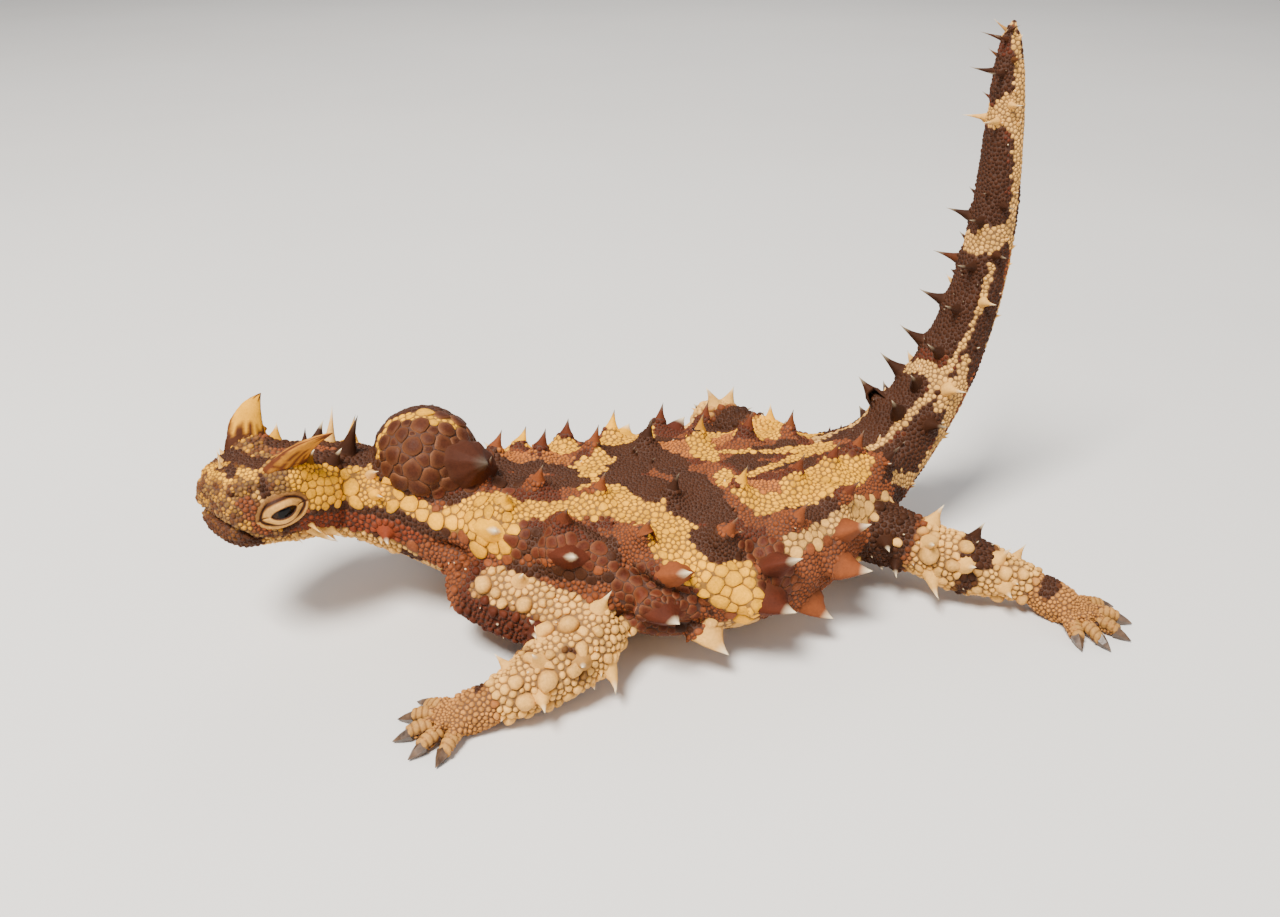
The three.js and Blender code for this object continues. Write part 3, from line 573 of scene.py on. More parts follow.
# markings on the animal's left: strokes of station, degrees from the middle of the back, half width in mm
bands = {
    "snoutEdge": ("yellow", [(0.9, -30, 0.7), (0.87, -18, 0.7), (0.83, -6, 0.7)]),
    # the dark nostril band is painted shade inside the sunk nostril pit
    "nostril": ("dark", [(0.72, 46, 0.3), (0.8, 50, 0.3)]),
    "chinEdge": ("dark", [(1.0, 124, 0.5), (1.8, 126, 0.6), (2.5, 122, 0.5)]),
    "snoutSide": ("base", [(1.0, 60, 0.8), (1.3, 84, 1.2), (1.5, 100, 1.0)]),
    "browA": ("yellow", [(1.06, -18, 1.0), (1.06, 0, 1.1), (0.94, 16, 1.0)]),
    "browB": ("yellow", [(1.39, 8, 1.1), (1.59, 19, 1.4), (1.66, 32, 1.1)]),
    "browBar": ("dark", [(1.38, 0, 0.6), (1.17, 15, 0.6)]),
    "hornStripe": ("dark", [(1.6, -34, 1.2), (1.66, -20, 1.3), (1.7, -8, 1.3), (1.8, 4, 1.3),
                            (2.0, 16, 1.4)]),
    "eyeCreamA": ("cream", [(1.55, 43, 0.5), (1.51, 58, 0.5), (1.51, 70, 0.4)]),
    "eyeBarA": ("dark", [(1.79, 35, 0.7), (1.7, 50, 0.7), (1.64, 62, 0.5)]),
    "eyeCreamB": ("cream", [(1.9, 50, 0.4), (1.85, 64, 0.4)]),
    "eyeBarB": ("dark", [(2.08, 50, 0.55), (2.01, 66, 0.5)]),
    "cheek": ("yellow", [(2.84, 46, 2.0), (2.6, 64, 1.8), (2.45, 80, 1.2)]),
    "neckBand": ("yellow", [(3.05, 56, 3.3), (4.2, 58, 3.4), (5.19, 56, 3.6), (5.67, 73, 2.4),
                            (6.06, 81, 1.7), (6.54, 79, 1.6), (6.83, 68, 1.9)]),
    "nape": ("dark", [(3.2, 18, 1.6), (4.04, 20, 1.6), (4.58, 14, 2.0), (5.1, 14, 2.2)]),
    "jawRed": ("red", [(2.46, 102, 1.3), (3.35, 110, 1.9), (4.78, 114, 2.0), (5.66, 104, 1.9),
                       (6.14, 98, 1.6)]),
    "jawEdge": ("dark", [(2.05, 108, 0.5), (2.45, 97, 0.45), (3.15, 93, 0.5), (4.23, 94, 0.5),
                         (5.18, 93, 0.55), (5.78, 90, 0.7), (6.27, 90, 0.8), (6.66, 91, 1.0)]),
    "throatEdge": ("dark", [(2.25, 122, 0.45), (3.3, 126, 0.5), (4.3, 128, 0.5), (5.47, 124, 0.8)]),
    "throat": ("cream", [(1.9, 138, 1.5), (3.3, 142, 2.0), (4.6, 142, 2.0), (5.6, 136, 1.6),
                         (6.17, 122, 1.2)]),
    "shoulder": ("yellow", [(6.83, 66, 1.9), (7.21, 58, 3.5), (7.61, 56, 4.2), (7.95, 42, 2.4),
                            (8.31, 32, 1.7), (8.61, 26, 1.7), (8.9, 22, 2.1), (9.21, 26, 2.4),
                            (9.35, 31, 2.0)]),
    "backBand": ("yellow", [(8.6, -8, 1.2), (8.67, -4, 1.6), (8.76, 3, 2.0), (8.99, 9, 2.4),
                            (9.24, 20, 3.0), (9.42, 36, 3.2), (9.64, 52, 3.5), (9.84, 66, 3.7),
                            (10.02, 82, 3.6), (10.12, 96, 2.2)]),
    "thinBack": ("yellow", [(7.0, -9, 0.35), (7.96, -7, 0.4), (8.49, -4, 0.6), (8.83, -2, 0.9),
                            (9.18, -4, 0.4)]),
    "humpBack": ("dark", [(6.7, 18, 1.6), (7.04, 15, 2.2), (7.69, 11, 2.0), (8.22, 8, 1.8),
                          (8.56, 5, 1.1)]),
    "humpFront": ("dark", [(5.9, 40, 0.9), (6.4, 46, 0.9), (6.75, 42, 1.0), (6.9, 30, 1.3)]),
    "flankA": ("redDark", [(7.95, 62, 2.2), (8.26, 56, 3.0), (8.6, 54, 3.0), (8.84, 56, 1.8)]),
    "flankB": ("redDark", [(8.95, 72, 2.0), (9.15, 82, 3.6), (9.45, 92, 3.2)]),
    "groove": ("dark", [(8.87, 48, 0.9), (8.96, 60, 1.0), (9.12, 72, 1.0), (9.4, 76, 0.9), (9.6, 86, 0.9),
                        (9.77, 95, 1.0)]),
    "grooveFront": ("dark", [(7.95, 72, 0.7), (8.06, 60, 0.8), (8.2, 46, 0.8), (8.5, 42, 0.7),
                             (8.86, 47, 0.7)]),
    "grooveLow": ("dark", [(7.7, 92, 0.7), (8.2, 84, 0.8), (8.6, 78, 0.8), (8.9, 78, 0.6)]),
    "grooveUnder": ("dark", [(8.9, 104, 0.6), (9.2, 108, 0.8), (9.6, 106, 0.8), (9.9, 100, 0.7)]),
    "sideDarkA": ("dark", [(9.82, 45, 2.2), (9.96, 50, 2.0), (10.18, 48, 1.8)]),
    "sideDarkB": ("redDark", [(10.14, 40, 1.9), (10.31, 49, 2.0), (10.42, 63, 2.0), (10.48, 86, 2.4),
                              (10.46, 110, 2.4)]),
    "dorsalA": ("dark", [(8.7, -32, 1.8), (8.95, -24, 2.4), (9.28, -18, 2.9), (9.58, -12, 2.4),
                         (9.8, -6, 2.2)]),
    "dorsalB": ("dark", [(9.08, 2, 1.6), (9.2, 4, 2.0), (9.46, 11, 2.9), (9.74, 20, 3.2), (10.0, 28, 2.6),
                         (9.91, 7, 2.4)]),
    "backPatch": ("yellow", [(8.0, -34, 1.4), (8.4, -30, 1.5), (8.65, -28, 1.3)]),
    "midOrange": ("orange", [(9.95, -18, 1.8), (10.2, -11, 1.6)]),
    "frontOrange": ("orange", [(7.2, -26, 2.2), (7.8, -20, 2.0), (8.3, -14, 1.4)]),
    "hip": ("yellow", [(10.4, 6, 1.4), (10.4, 17, 2.0), (10.6, 26, 2.4), (10.99, 29, 2.7),
                       (11.65, 30, 3.0), (12.44, 29, 2.4), (12.9, 34, 1.6)]),
    "hipOrange": ("orange", [(10.6, 14, 1.2), (10.85, 20, 1.2)]),
    "hipDark": ("dark", [(10.77, 3, 1.3), (11.26, 7, 1.6), (11.9, 11, 1.3)]),
    "rumpEdge": ("yellow", [(10.6, -9, 0.5), (11.1, -6, 0.6), (11.6, -4, 0.7), (12.32, -2, 0.9),
                            (12.81, 11, 1.1)]),
    "creamHip": ("cream", [(10.66, 58, 1.2), (10.96, 59, 1.3), (11.41, 56, 1.6), (12.11, 64, 1.7),
                           (12.97, 88, 1.4)]),
    "thighTop": ("dark", [(10.87, 40, 1.1), (11.22, 43, 1.4), (11.68, 48, 1.0)]),
    "lowCream": ("cream", [(9.84, 114, 1.6), (10.1, 118, 2.4)]),
    "lowRed": ("redDark", [(8.9, 112, 2.0), (9.4, 116, 2.2)]),
    "tailA": ("dark", [(13.0, -14, 1.6), (13.98, -12, 2.2), (14.59, -14, 1.9)]),
    "tailB": ("dark", [(14.95, -14, 2.0), (15.54, -6, 2.0)]),
    "tailC": ("dark", [(16.45, -4, 2.0), (16.8, 2, 2.0), (17.25, 4, 2.0)]),
    "tailD": ("dark", [(18.15, 16, 1.9), (18.5, 30, 1.9), (18.9, 34, 1.6)]),
    "tailLowA": ("dark", [(13.33, 52, 1.8), (14.47, 70, 1.8), (15.08, 88, 1.4)]),
    "tailLowB": ("dark", [(16.2, 96, 1.5), (16.48, 104, 1.5), (17.0, 112, 1.4)]),
    "tailRingA": ("cream", [(15.7, -30, 0.9), (15.9, 20, 1.1), (15.8, 84, 1.3), (15.5, 78, 1.0)]),
    "tailRingB": ("cream", [(17.75, -40, 1.0), (17.72, 8, 1.4), (17.85, 56, 1.7), (17.95, 100, 1.5)]),
    "tailRingC": ("cream", [(19.4, -40, 1.2), (19.34, 10, 1.3), (19.5, 69, 1.5), (19.2, 100, 1.2)]),
    "tailStripe": ("cream", [(17.8, 118, 0.9), (18.4, 112, 1.0), (19.2, 108, 1.2), (20.0, 106, 1.0),
                             (20.8, 100, 0.8)]),
    "tailStripeLow": ("cream", [(14.4, 118, 1.0), (15.2, 108, 1.0), (15.8, 96, 1.3), (16.2, 84, 0.9)]),
    "tailBlotch": ("cream", [(13.6, 74, 0.9), (13.9, 88, 1.1), (14.1, 104, 1.2)]),
    "tailEndRing": ("cream", [(20.75, -60, 0.8), (20.8, 0, 0.9), (20.8, 60, 0.9)]),
    "tailLine": ("cream", [(12.58, 14, 0.5), (13.46, 25, 0.55), (15.05, 38, 0.65), (15.56, 51, 0.7),
                           (16.14, 58, 0.55), (16.58, 72, 0.5), (16.99, 76, 0.5), (17.5, 76, 0.6)]),
}
shadeNames = ["yellow", "dark", "cream", "orange", "redDark", "red", "tan"]
mirrorSlip = {"station": 0.12, "degrees": 4}  # how far a band lies off its twin on the other side


def noMarkings(count):
    return {name: np.zeros(count) for name in shadeNames}


def wobble(spots, size, seed=0.0):
    shift = Vector((seed * 7.3, seed * 3.1, seed * 5.7))
    return np.array([noise.noise(Vector(spot) / size + shift) for spot in spots.tolist()])


def markings(spots, place):
    weights = noMarkings(len(spots))
    edge = wobble(spots, 1.3) * 0.75 + wobble(spots, 0.55, 1) * 0.35
    onBody = place["leg"] < 0
    turn = place["degrees"]
    tailDark = onBody * np.clip((place["station"] + edge * 0.3 - 13.1) / 0.5, 0, 1)
    upperTail = tailDark * (np.abs(turn) < 118)
    laid(weights, "dark", upperTail)
    laid(weights, "redDark", upperTail * np.clip(wobble(spots, 3.2, 2) * 3, 0, 1) * 0.6)
    backDark = onBody * np.clip((46 + edge * 8 - np.abs(turn)) / 6, 0, 1)
    backDark *= (place["station"] > 7.2) & (place["station"] < 13)
    laid(weights, "redDark", backDark * np.clip(wobble(spots, 3.4, 3) * 4 + 0.7, 0, 1) * 0.75)
    headTan = onBody * np.clip((2.75 + edge * 0.3 - place["station"]) / 0.3, 0, 1)
    laid(weights, "tan", headTan)
    patches = wobble(spots, 1.0, 5) + wobble(spots, 0.45, 6) * 0.5
    laid(weights, "yellow", headTan * np.clip((patches - 0.14) * 5, 0, 1) * 0.45)
    laid(weights, "dark", headTan * np.clip((-patches - 0.08) * 5, 0, 1) * 0.6)
    # painted shade: the lower side of the head, past 112 degrees from the back, is darkened
    laid(weights, "dark", headTan * np.clip((np.abs(turn) - 112 + edge * 14) / 10, 0, 1) * 0.7)
    for count, (shade, points) in enumerate(bands.values()):
        for side in (1, -1):
            slip = (count * 37 % 11 / 10 - 0.5) * 2 if side < 0 else 0
            line = [(p[0] + slip * mirrorSlip["station"], (p[1] + slip * mirrorSlip["degrees"]) * side, p[2])
                    for p in points]
            if side < 0 and min(p[1] for p in points) < -15:
                continue
            path, half = strokePoints(line, 4)
            low, high = path.min(0) - half.max() - 2, path.max(0) + half.max() + 2
            near = ((spots > low) & (spots < high)).all(1) & onBody
            if not near.any():
                continue
            gap, share = strokeGap(spots[near], path)
            width = np.interp(share * (len(half) - 1), np.arange(len(half)), half)
            ragged = edge[near] * np.minimum(0.45 + width * 0.2, 1)
            amount = np.clip((width * 1.06 + ragged - gap) / 0.35 + 0.5, 0, 1)
            for name in shadeNames:
                weights[name][near] *= 1 - amount
            if shade in weights:
                weights[shade][near] += amount
    legMarkings(weights, place, edge)
    # painted shade: the hide in the sunk clefts between the toes is darkened
    laid(weights, "dark", np.clip(cleftShare(spots) * 1.5 - 0.35, 0, 0.9))
    # painted shade along the mouth slit between the jaws
    laid(weights, "dark", np.clip((mouth["dark"] - mouthGap(spots)) / 0.2, 0, 1))
    bellyMarkings(weights, place, edge)
    knobMarkings(weights, place, spots, edge)
    return weights


knobMiddle = np.array([-32.5, 0.6, 23.4])

# markings of the knob: shade, half width and points, in mm
knobBands = [
    ("dark", 2.2, [(-39.6, -1.5, 23.0), (-38.4, 3.0, 26.4), (-35.0, 5.0, 28.4), (-30.0, 5.0, 28.2),
                   (-26.5, 4, 25.5)]),
    ("dark", 1.3, [(-39.4, -2.2, 24.0), (-38.4, 0.6, 27.2), (-36.4, 2.0, 29.0), (-32.5, 2.2, 29.8),
                   (-28.0, 1.6, 28.6)]),
    ("yellow", 0.95, [(-39.0, -1.6, 25.0), (-38.2, -0.2, 27.1), (-36.8, 0.4, 28.5), (-34.9, 0.3, 29.4),
                      (-32.7, -0.4, 29.7), (-30.3, -1.2, 29.1), (-28.0, -1.0, 28.0)]),
    ("dark", 0.9, [(-38.6, -3.6, 22.4), (-36.5, -5.4, 20.6), (-32.8, -6.0, 19.0), (-28.2, -5.2, 18.4)]),
]
knobReach = 7.6


def knobMarkings(weights, place, spots, edge):
    away = np.linalg.norm(spots - knobMiddle, axis=1)
    lump = (place["leg"] < 0) & (place["bodyGap"] > 0.9) & (away < knobReach + 2)
    lump &= (place["station"] > 4.6) & (place["station"] < 8.6) & (np.abs(place["degrees"]) < 78)
    laid(weights, "redDark", lump * 1.0)
    for shade, half, points in knobBands:
        gap, share = strokeGap(spots[lump], np.array(points, float))
        amount = np.zeros(len(spots))
        amount[lump] = np.clip((half + edge[lump] * 0.25 - gap) / 0.3 + 0.5, 0, 1)
        laid(weights, shade, amount)


def laid(weights, shade, amount):
    for name in shadeNames:
        weights[name] *= 1 - amount
    weights[shade] += amount


def bellyMarkings(weights, place, edge):
    under = np.clip((np.abs(place["degrees"]) - 126 + edge * 9) / 6, 0, 1) * (place["leg"] < 0)
    under *= place["station"] > 5.8
    laid(weights, "cream", under)
    bar = np.cos(place["station"] * 3.1 + edge * 1.2) * np.cos(np.radians(place["degrees"]) * 3)
    laid(weights, "dark", under * np.clip((bar - 0.35) / 0.15, 0, 1) * 0.9)
    throat = np.clip((np.abs(place["degrees"]) - 128 + edge * 7) / 5, 0, 1) * (place["leg"] < 0)
    throat *= (place["station"] < 6) & (place["station"] > 1.6)
    laid(weights, "cream", throat)


# along each leg: from, to and shade, then how far round it lies from the top, in degrees
legBands = {
    "fore_left": [(0.0, 1.0, "redDark", 0, 181), (0.1, 0.9, "cream", 15, 48),
                  (0.78, 2.2, "cream", 0, 181), (1.02, 1.14, "dark", 150, 46),
                  (1.3, 1.42, "dark", -60, 40), (1.62, 1.72, "dark", 30, 34), (2.2, 4.2, "tan", 0, 181),
                  (2.35, 2.6, "dark", 40, 50)],
    "fore_right": [(0.0, 0.8, "redDark", 0, 181), (0.2, 0.7, "yellow", 0, 50),
                   (0.8, 1.5, "cream", 0, 181), (1.15, 1.3, "dark", 20, 60),
                   (1.5, 1.8, "redDark", 0, 181), (1.8, 2.3, "cream", 0, 181), (2.3, 4.2, "tan", 0, 181)],
    "hind_left": [(0.0, 0.86, "dark", 0, 181), (0.02, 0.4, "cream", 75, 30),
                  (0.28, 0.5, "cream", 150, 44), (0.86, 2.2, "cream", 0, 181),
                  (1.22, 1.62, "dark", 0, 64), (1.3, 1.5, "dark", 130, 60), (2.1, 4.2, "tan", 0, 181),
                  (2.3, 2.7, "dark", 0, 70)],
    "hind_right": [(0.0, 0.5, "redDark", 0, 181), (0.1, 0.5, "yellow", 0, 40),
                   (0.5, 0.85, "dark", 0, 181), (0.85, 1.25, "cream", 0, 181),
                   (1.25, 1.6, "dark", 0, 100), (1.6, 2.3, "cream", 0, 181), (2.3, 4.2, "tan", 0, 181)],
}


def legMarkings(weights, place, edge):
    for k, name in enumerate(legNames):
        onLeg = place["leg"] == k
        share = place["share"] + edge * 0.06
        for start, end, shade, middle, spread in legBands[name]:
            away = np.abs((place["around"] - middle + 180) % 360 - 180)
            amount = np.clip((share - start) / 0.05, 0, 1) * np.clip((end - share) / 0.05, 0, 1)
            amount *= np.clip((spread - away + edge * 16) / 8, 0, 1) * onLeg
            if shade == "tan":
                laid(weights, "cream", amount * 0.55)
                laid(weights, "orange", amount * 0.35)
            else:
                laid(weights, shade, amount)


hidePlace = places(hideSpots)
hideWeights = markings(hideSpots, hidePlace)
print("markings laid on the hide")

# the thorns stand at the tips of the frame's own thorns
thornPlan = {
    "sides": 12, "bend": 0.1, "flat": 0.1, "sunk": 0.15, "longer": 0.12, "drop": 2.6, "rise": 0.2,
    "foot": {"mound": 0.46, "plain": 0.8},
}
thornTop = np.array([t[1] for t in thornTips])
thornWay = units(np.array([t[1] - t[2] for t in thornTips]))
thornRoot = np.empty_like(thornTop)
thornRootWay = np.empty_like(thornTop)
for k in range(len(thornTop)):
    where, way, face, gap = hideTree.ray_cast(thornTop[k].tolist(), (-thornWay[k]).tolist(), 9)
    if where is None:
        where, way, face, gap = hideTree.find_nearest(thornTop[k].tolist())
    thornRoot[k], thornRootWay[k] = where, way
thornReach = np.linalg.norm(thornTop - thornRoot, axis=1)
thornRadius = thornFeet * np.where(onMound, thornPlan["foot"]["mound"], thornPlan["foot"]["plain"])


def calmWays(spots, ways, radius):
    side = units(np.cross(ways, (0.3, 0.2, 0.9)))
    other = np.cross(ways, side)
    total = ontoHide(spots)[1] + ways * 0.5
    for turn in np.arange(6) * math.pi / 3:
        off = side * math.cos(turn) + other * math.sin(turn)
        total += ontoHide(spots + off * radius[:, None] * 0.9)[1]
    return units(total)


thornRootWay = calmWays(thornRoot, thornRootWay, thornRadius)
thornPlace = places(thornRoot)
nodeOfThorn = np.array([t[0] for t in thornTips])
onTail = np.array([name.startswith("tail") for name in nodeOfThorn])
onTrunk = nodeOfThorn == "trunk"
print("thorns:", len(thornTop), "reach", np.round(np.percentile(thornReach, [0, 50, 100]), 2))

# sizes of the plates, as half widths in mm
plateSizes = {
    "snout": 0.24, "face": 0.25, "neckFront": 0.42, "neckYellow": 0.86, "neckRed": 0.28, "nape": 0.25,
    "throat": 0.38, "back": 0.21, "backYellow": 0.3, "flank": 0.26, "flankYellow": 0.78,
    "flankDark": 0.55, "belly": 0.36, "knob": 0.74, "knobEdge": 0.34, "tail": 0.27, "tailEnd": 0.22,
    "limb": 0.28, "limbCream": 0.36, "foot": 0.25, "toe": 0.2,
}
coatPlan = {
    "candidates": 420000, "quickCandidates": 60000, "quickGrowth": 1.7, "crowding": 0.84, "groove": 0.02,
    "neighbours": 16, "reach": 1.95, "thornClear": 0.86, "eyeClear": 2.85,
}
# chance and growth of the plates that are larger than their neighbours
oddPlates = {"limb": (0.04, 1.5), "limbGreat": (0.008, 2.2), "flank": (0.006, 1.7), "throat": (0.01, 1.5)}
sownFirst = {"great": 60, "rosette": 50}  # plates of a higher rank take their place before the others


def plateSize(spots, place, weights):
    station, turn = place["station"], np.abs(place["degrees"])
    sizes = plateSizes
    yellow = np.maximum(weights["yellow"], weights["cream"] * (turn < 118)) > 0.5
    neckSizes = (sizes["neckFront"], sizes["neckFront"] * 1.2, sizes["neckYellow"])
    neckYellow = np.interp(station, (3.2, 4.3, 4.5), neckSizes)
    neck = np.where(yellow, neckYellow, sizes["neckRed"])
    neck = np.where(turn < 40, sizes["nape"], neck)
    neck = np.where((turn > 121), sizes["throat"], neck)
    low = np.interp(turn, (50, 72), (0, 1))
    plain = sizes["back"] + (sizes["flank"] - sizes["back"]) * low
    bright = sizes["backYellow"] + (sizes["flankYellow"] - sizes["backYellow"]) * low
    darkFlank = (weights["redDark"] > 0.5) & (turn > 50) & (np.abs(station - 9.2) < 1.5)
    plain = np.where(darkFlank, sizes["flankDark"], plain)
    trunk = np.where(yellow, bright, plain)
    trunk = np.where(turn > 120, sizes["belly"], trunk)
    tail = np.interp(station, (14, 21), (sizes["tail"], sizes["tailEnd"]))
    head = np.interp(station, (1.2, 2.0), (sizes["snout"], sizes["face"]))
    size = np.select([station < 2.6, station < 6.1, station < 13.2], [head, neck, trunk], tail)
    share = place["share"]
    limb = np.where(weights["cream"] > 0.4, sizes["limbCream"], sizes["limb"])
    limb = np.where(share > 2.15, sizes["foot"], limb)
    limb = np.where(share > 3.1, sizes["toe"], limb)
    size = np.where(place["leg"] >= 0, limb, size)
    high = np.linalg.norm((spots - knobMiddle) * (0.9, 0.9, 1), axis=1)
    above = (place["leg"] < 0) & (place["bodyGap"] > 1.2) & (high < 8.5) & (station > 4.8) & (station < 8.6)
    onDark = weights["redDark"] > 0.5
    return np.where(above, np.where(onDark, sizes["knob"], sizes["knobEdge"]), size), above


def candidates():
    corners = hideSpots[hideTriangles]
    cross = np.cross(corners[:, 1] - corners[:, 0], corners[:, 2] - corners[:, 0])
    area = np.linalg.norm(cross, axis=1)
    chosen = draw.choice(len(area), coatPlan["candidates"], p=area / area.sum())
    a, b = draw.rand(2, len(chosen))
    flip = a + b > 1
    a[flip], b[flip] = 1 - a[flip], 1 - b[flip]
    spots = corners[chosen, 0] * (1 - a - b)[:, None] + corners[chosen, 1] * a[:, None]
    spots = spots + corners[chosen, 2] * b[:, None]
    nearest = hideTriangles[chosen, np.argmax([1 - a - b, a, b], axis=0)]
    ways = hideWays[hideTriangles[chosen]].sum(1)
    return spots, units(ways), nearest


def rosettes():
    spots, sizes = [], []
    localSize = plateSize(thornRoot, thornPlace, markings(thornRoot, thornPlace))[0]
    for k in range(len(thornRoot)):
        side = unit(np.cross(thornRootWay[k], (0.3, 0.2, 0.9)))
        other = np.cross(thornRootWay[k], side)
        plate = min(thornRadius[k] * 0.36, localSize[k] * 1.7)
        for ring in range(1 if onTail[k] else 2):
            radius = thornRadius[k] * 0.9 + plate * (0.95 + ring * 1.8)
            count = max(5, int(round(2 * math.pi * radius / (plate * 2.0))))
            turn = (np.arange(count) + ring * 0.5 + draw.rand() * 0.3) * 2 * math.pi / count
            out = np.cos(turn)[:, None] * side + np.sin(turn)[:, None] * other
            spots.append(thornRoot[k] + out * radius)
            sizes.append(np.full(count, plate * (1 - 0.18 * ring)))
    spots = np.vstack(spots)
    found, ways = ontoHide(spots)
    close = np.linalg.norm(found - spots, axis=1) < 1.6
    return found[close], ways[close], np.concatenate(sizes)[close]


clearLines = {"nostril": 0.32, "neckFoldLeft": 0.3, "neckFoldRight": 0.3}  # free of plates

# great rounded scales of the legs: x, y, z and half width, in mm
legScales = np.array([
    (-22.8, -29.1, 6.6, 1.5), (-25.7, -30.2, 4.7, 1.35), (-19.1, -24.0, 10.4, 1.6),
    (-21.5, -23.2, 9.2, 1.2), (-23.8, -19.8, 11.3, 1.3), (-28.2, -15.6, 12.4, 1.4),
    (-26.6, -28.8, 6.9, 1.05), (-18.1, -27.3, 9.0, 1.0), (-19.5, -28.6, 7.0, 1.05),
    (-25.0, -18.9, 11.3, 1.0), (-22.0, -27.1, 8.7, 0.7), (-14.5, -27.9, 6.8, 0.85),
    (-14.6, -26.6, 3.3, 0.9), (-22.8, -29.0, 2.8, 0.9), (-28.1, -29.0, 6.5, 0.9),
    (-24.3, -26.6, 8.3, 1.0), (32.1, -21.2, 8.8, 1.6), (34.8, -22.5, 7.8, 1.0), (37.4, -21.5, 9.8, 1.2),
    (42.0, -24.9, 6.8, 1.1), (44.5, -25.5, 6.6, 0.9), (28.6, -18.6, 10.2, 0.7), (23.1, -14.7, 11.9, 0.9),
    (-24, 21.5, 9.0, 1.3), (-20.5, 22, 7, 1.2), (-28.5, 24, 6.5, 1.1), (-24.5, 14.5, 12.8, 1.2),
    (18, 23.5, 10.5, 1.2), (19.5, 25.5, 8.0, 1.0),
])


def searchTree(spots):
    tree = KDTree(len(spots))
    for k, spot in enumerate(spots.tolist()):
        tree.insert(spot, k)
    tree.balance()
    return tree


def sownPlates():
    spots, ways, nearest = candidates()
    place = rowsOf(hidePlace, nearest)
    weights = rowsOf(hideWeights, nearest)
    size, onKnob = plateSize(spots, place, weights)
    size = size * np.exp(draw.randn(len(size)) * np.where(onKnob, 0.24, 0.14))
    lot = draw.rand(len(size))
    limbCream = (place["leg"] >= 0) & (place["share"] < 2.3)
    size = np.where(limbCream & (lot < oddPlates["limb"][0]), size * oddPlates["limb"][1], size)
    great = size * oddPlates["limbGreat"][1] / oddPlates["limb"][1]
    size = np.where(limbCream & (lot < oddPlates["limbGreat"][0]), great, size)
    flank = (place["leg"] < 0) & (place["station"] > 6.2) & (place["station"] < 13) & ~onKnob
    size = np.where(flank & (lot < oddPlates["flank"][0]), size * oddPlates["flank"][1], size)
    throat = (place["leg"] < 0) & (place["station"] < 6) & (np.abs(place["degrees"]) > 120)
    size = np.where(throat & (lot < oddPlates["throat"][0]), size * oddPlates["throat"][1], size)
    ringSpots, ringWays, ringSizes = rosettes()
    greatSpots, greatWays = ontoHide(legScales[:, :3])
    spots = np.vstack([greatSpots, ringSpots, spots])
    ways = np.vstack([greatWays, ringWays, ways])
    rank = np.concatenate([legScales[:, 3] + sownFirst["great"], ringSizes * 0 + sownFirst["rosette"], size])
    size = np.concatenate([legScales[:, 3], ringSizes, size])
    tree = searchTree(spots)
    free = np.ones(len(spots), bool)
    for k in range(len(thornRoot)):  # nothing grows under a thorn or an eye
        for where, i, gap in tree.find_range(thornRoot[k].tolist(), thornRadius[k] * coatPlan["thornClear"]):
            free[i] = False
    for name in ("eye_left", "eye_right"):
        low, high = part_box(name)
        middle = inAnimal((np.array(low) + np.array(high)) / 2)
        for where, i, gap in tree.find_range(middle.tolist(), coatPlan["eyeClear"]):
            free[i] = False
    free &= mouthGap(spots) > mouth["clear"]
    for name, clear in clearLines.items():
        points = folds[name]["points"]
        twin = [(station, -turn) for station, turn in points] if folds[name].get("both") else points
        line = np.vstack([strokePoints(points, 13)[0], strokePoints(twin, 13)[0]])
        for spot in line.tolist():
            for where, i, gap in tree.find_range(spot, clear):
                free[i] = False
    kept = []
    sizeList = size.tolist()
    spotList = spots.tolist()
    crowding = coatPlan["crowding"]
    for i in np.argsort(-rank).tolist():
        if not free[i]:
            continue
        kept.append(i)
        mine = sizeList[i]
        for where, j, gap in tree.find_range(spotList[i], crowding * 2 * mine):
            if gap < crowding * (mine + sizeList[j]):
                free[j] = False
    return spots[kept], ways[kept], size[kept], np.array(kept) < len(legScales)


plateSpots, plateWays, plateHalf, plateGreat = sownPlates()
platePlace = places(plateSpots)
plateWeights = markings(plateSpots, platePlace)
for name, values in plateWeights.items():
    plateWeights[name] = np.where(plateGreat, 0.9 * (name == "cream"), values)
shares = np.stack([plateWeights[name] for name in shadeNames])
shares = np.vstack([shares, 1 - shares.sum(0)])
foremost = shares.argmax(0)
plainPlace = (platePlace["leg"] < 0) & (platePlace["station"] > 2.7)  # here each plate has one shade
for k, name in enumerate(shadeNames):
    plateWeights[name] = np.where(plainPlace, 0.96 * (foremost == k), plateWeights[name])
onKnobNow = plateSize(plateSpots, platePlace, plateWeights)[1]
knobDark = 0.6  # how much darker the great plates of the knob are
plateWeights["dark"] = np.where(onKnobNow & (plateWeights["redDark"] > 0.5), knobDark, plateWeights["dark"])
print("plates sown:", len(plateSpots), "largest", round(float(plateHalf.max()), 2))

plateForms = {
    "small": {"sides": 8, "rings": (1.0, 0.66), "rise": (-0.1, 0.68)},
    "large": {"sides": 14, "rings": (1.0, 0.94, 0.82, 0.42), "rise": (-0.15, 0.55, 0.88, 0.99)},
    "dome": {"sides": 16, "rings": (1.0, 0.88, 0.66, 0.34), "rise": (-0.1, 0.4, 0.75, 0.95)},
}
# how high a plate stands over its rim, as a share of its half width
domes = {"plain": 0.62, "flat": 0.19, "flatSmall": 0.34, "limb": 0.78, "knob": 0.2, "lean": 0.18}


def lieOfCoat(ways, place):
    flow = sectionFrames(place["station"])[1]
    for k, name in enumerate(legNames):
        joints = np.array(legJoints[name], float)
        for s in range(3):
            here = (place["leg"] == k) & (np.minimum(place["share"].astype(int), 2) == s)
            step = joints[s + 1] - joints[s]
            flow[here] = unit(step)
    flow = flow - ways * (flow * ways).sum(1)[:, None]
    return flow / np.maximum(np.linalg.norm(flow, axis=1), 1e-6)[:, None]


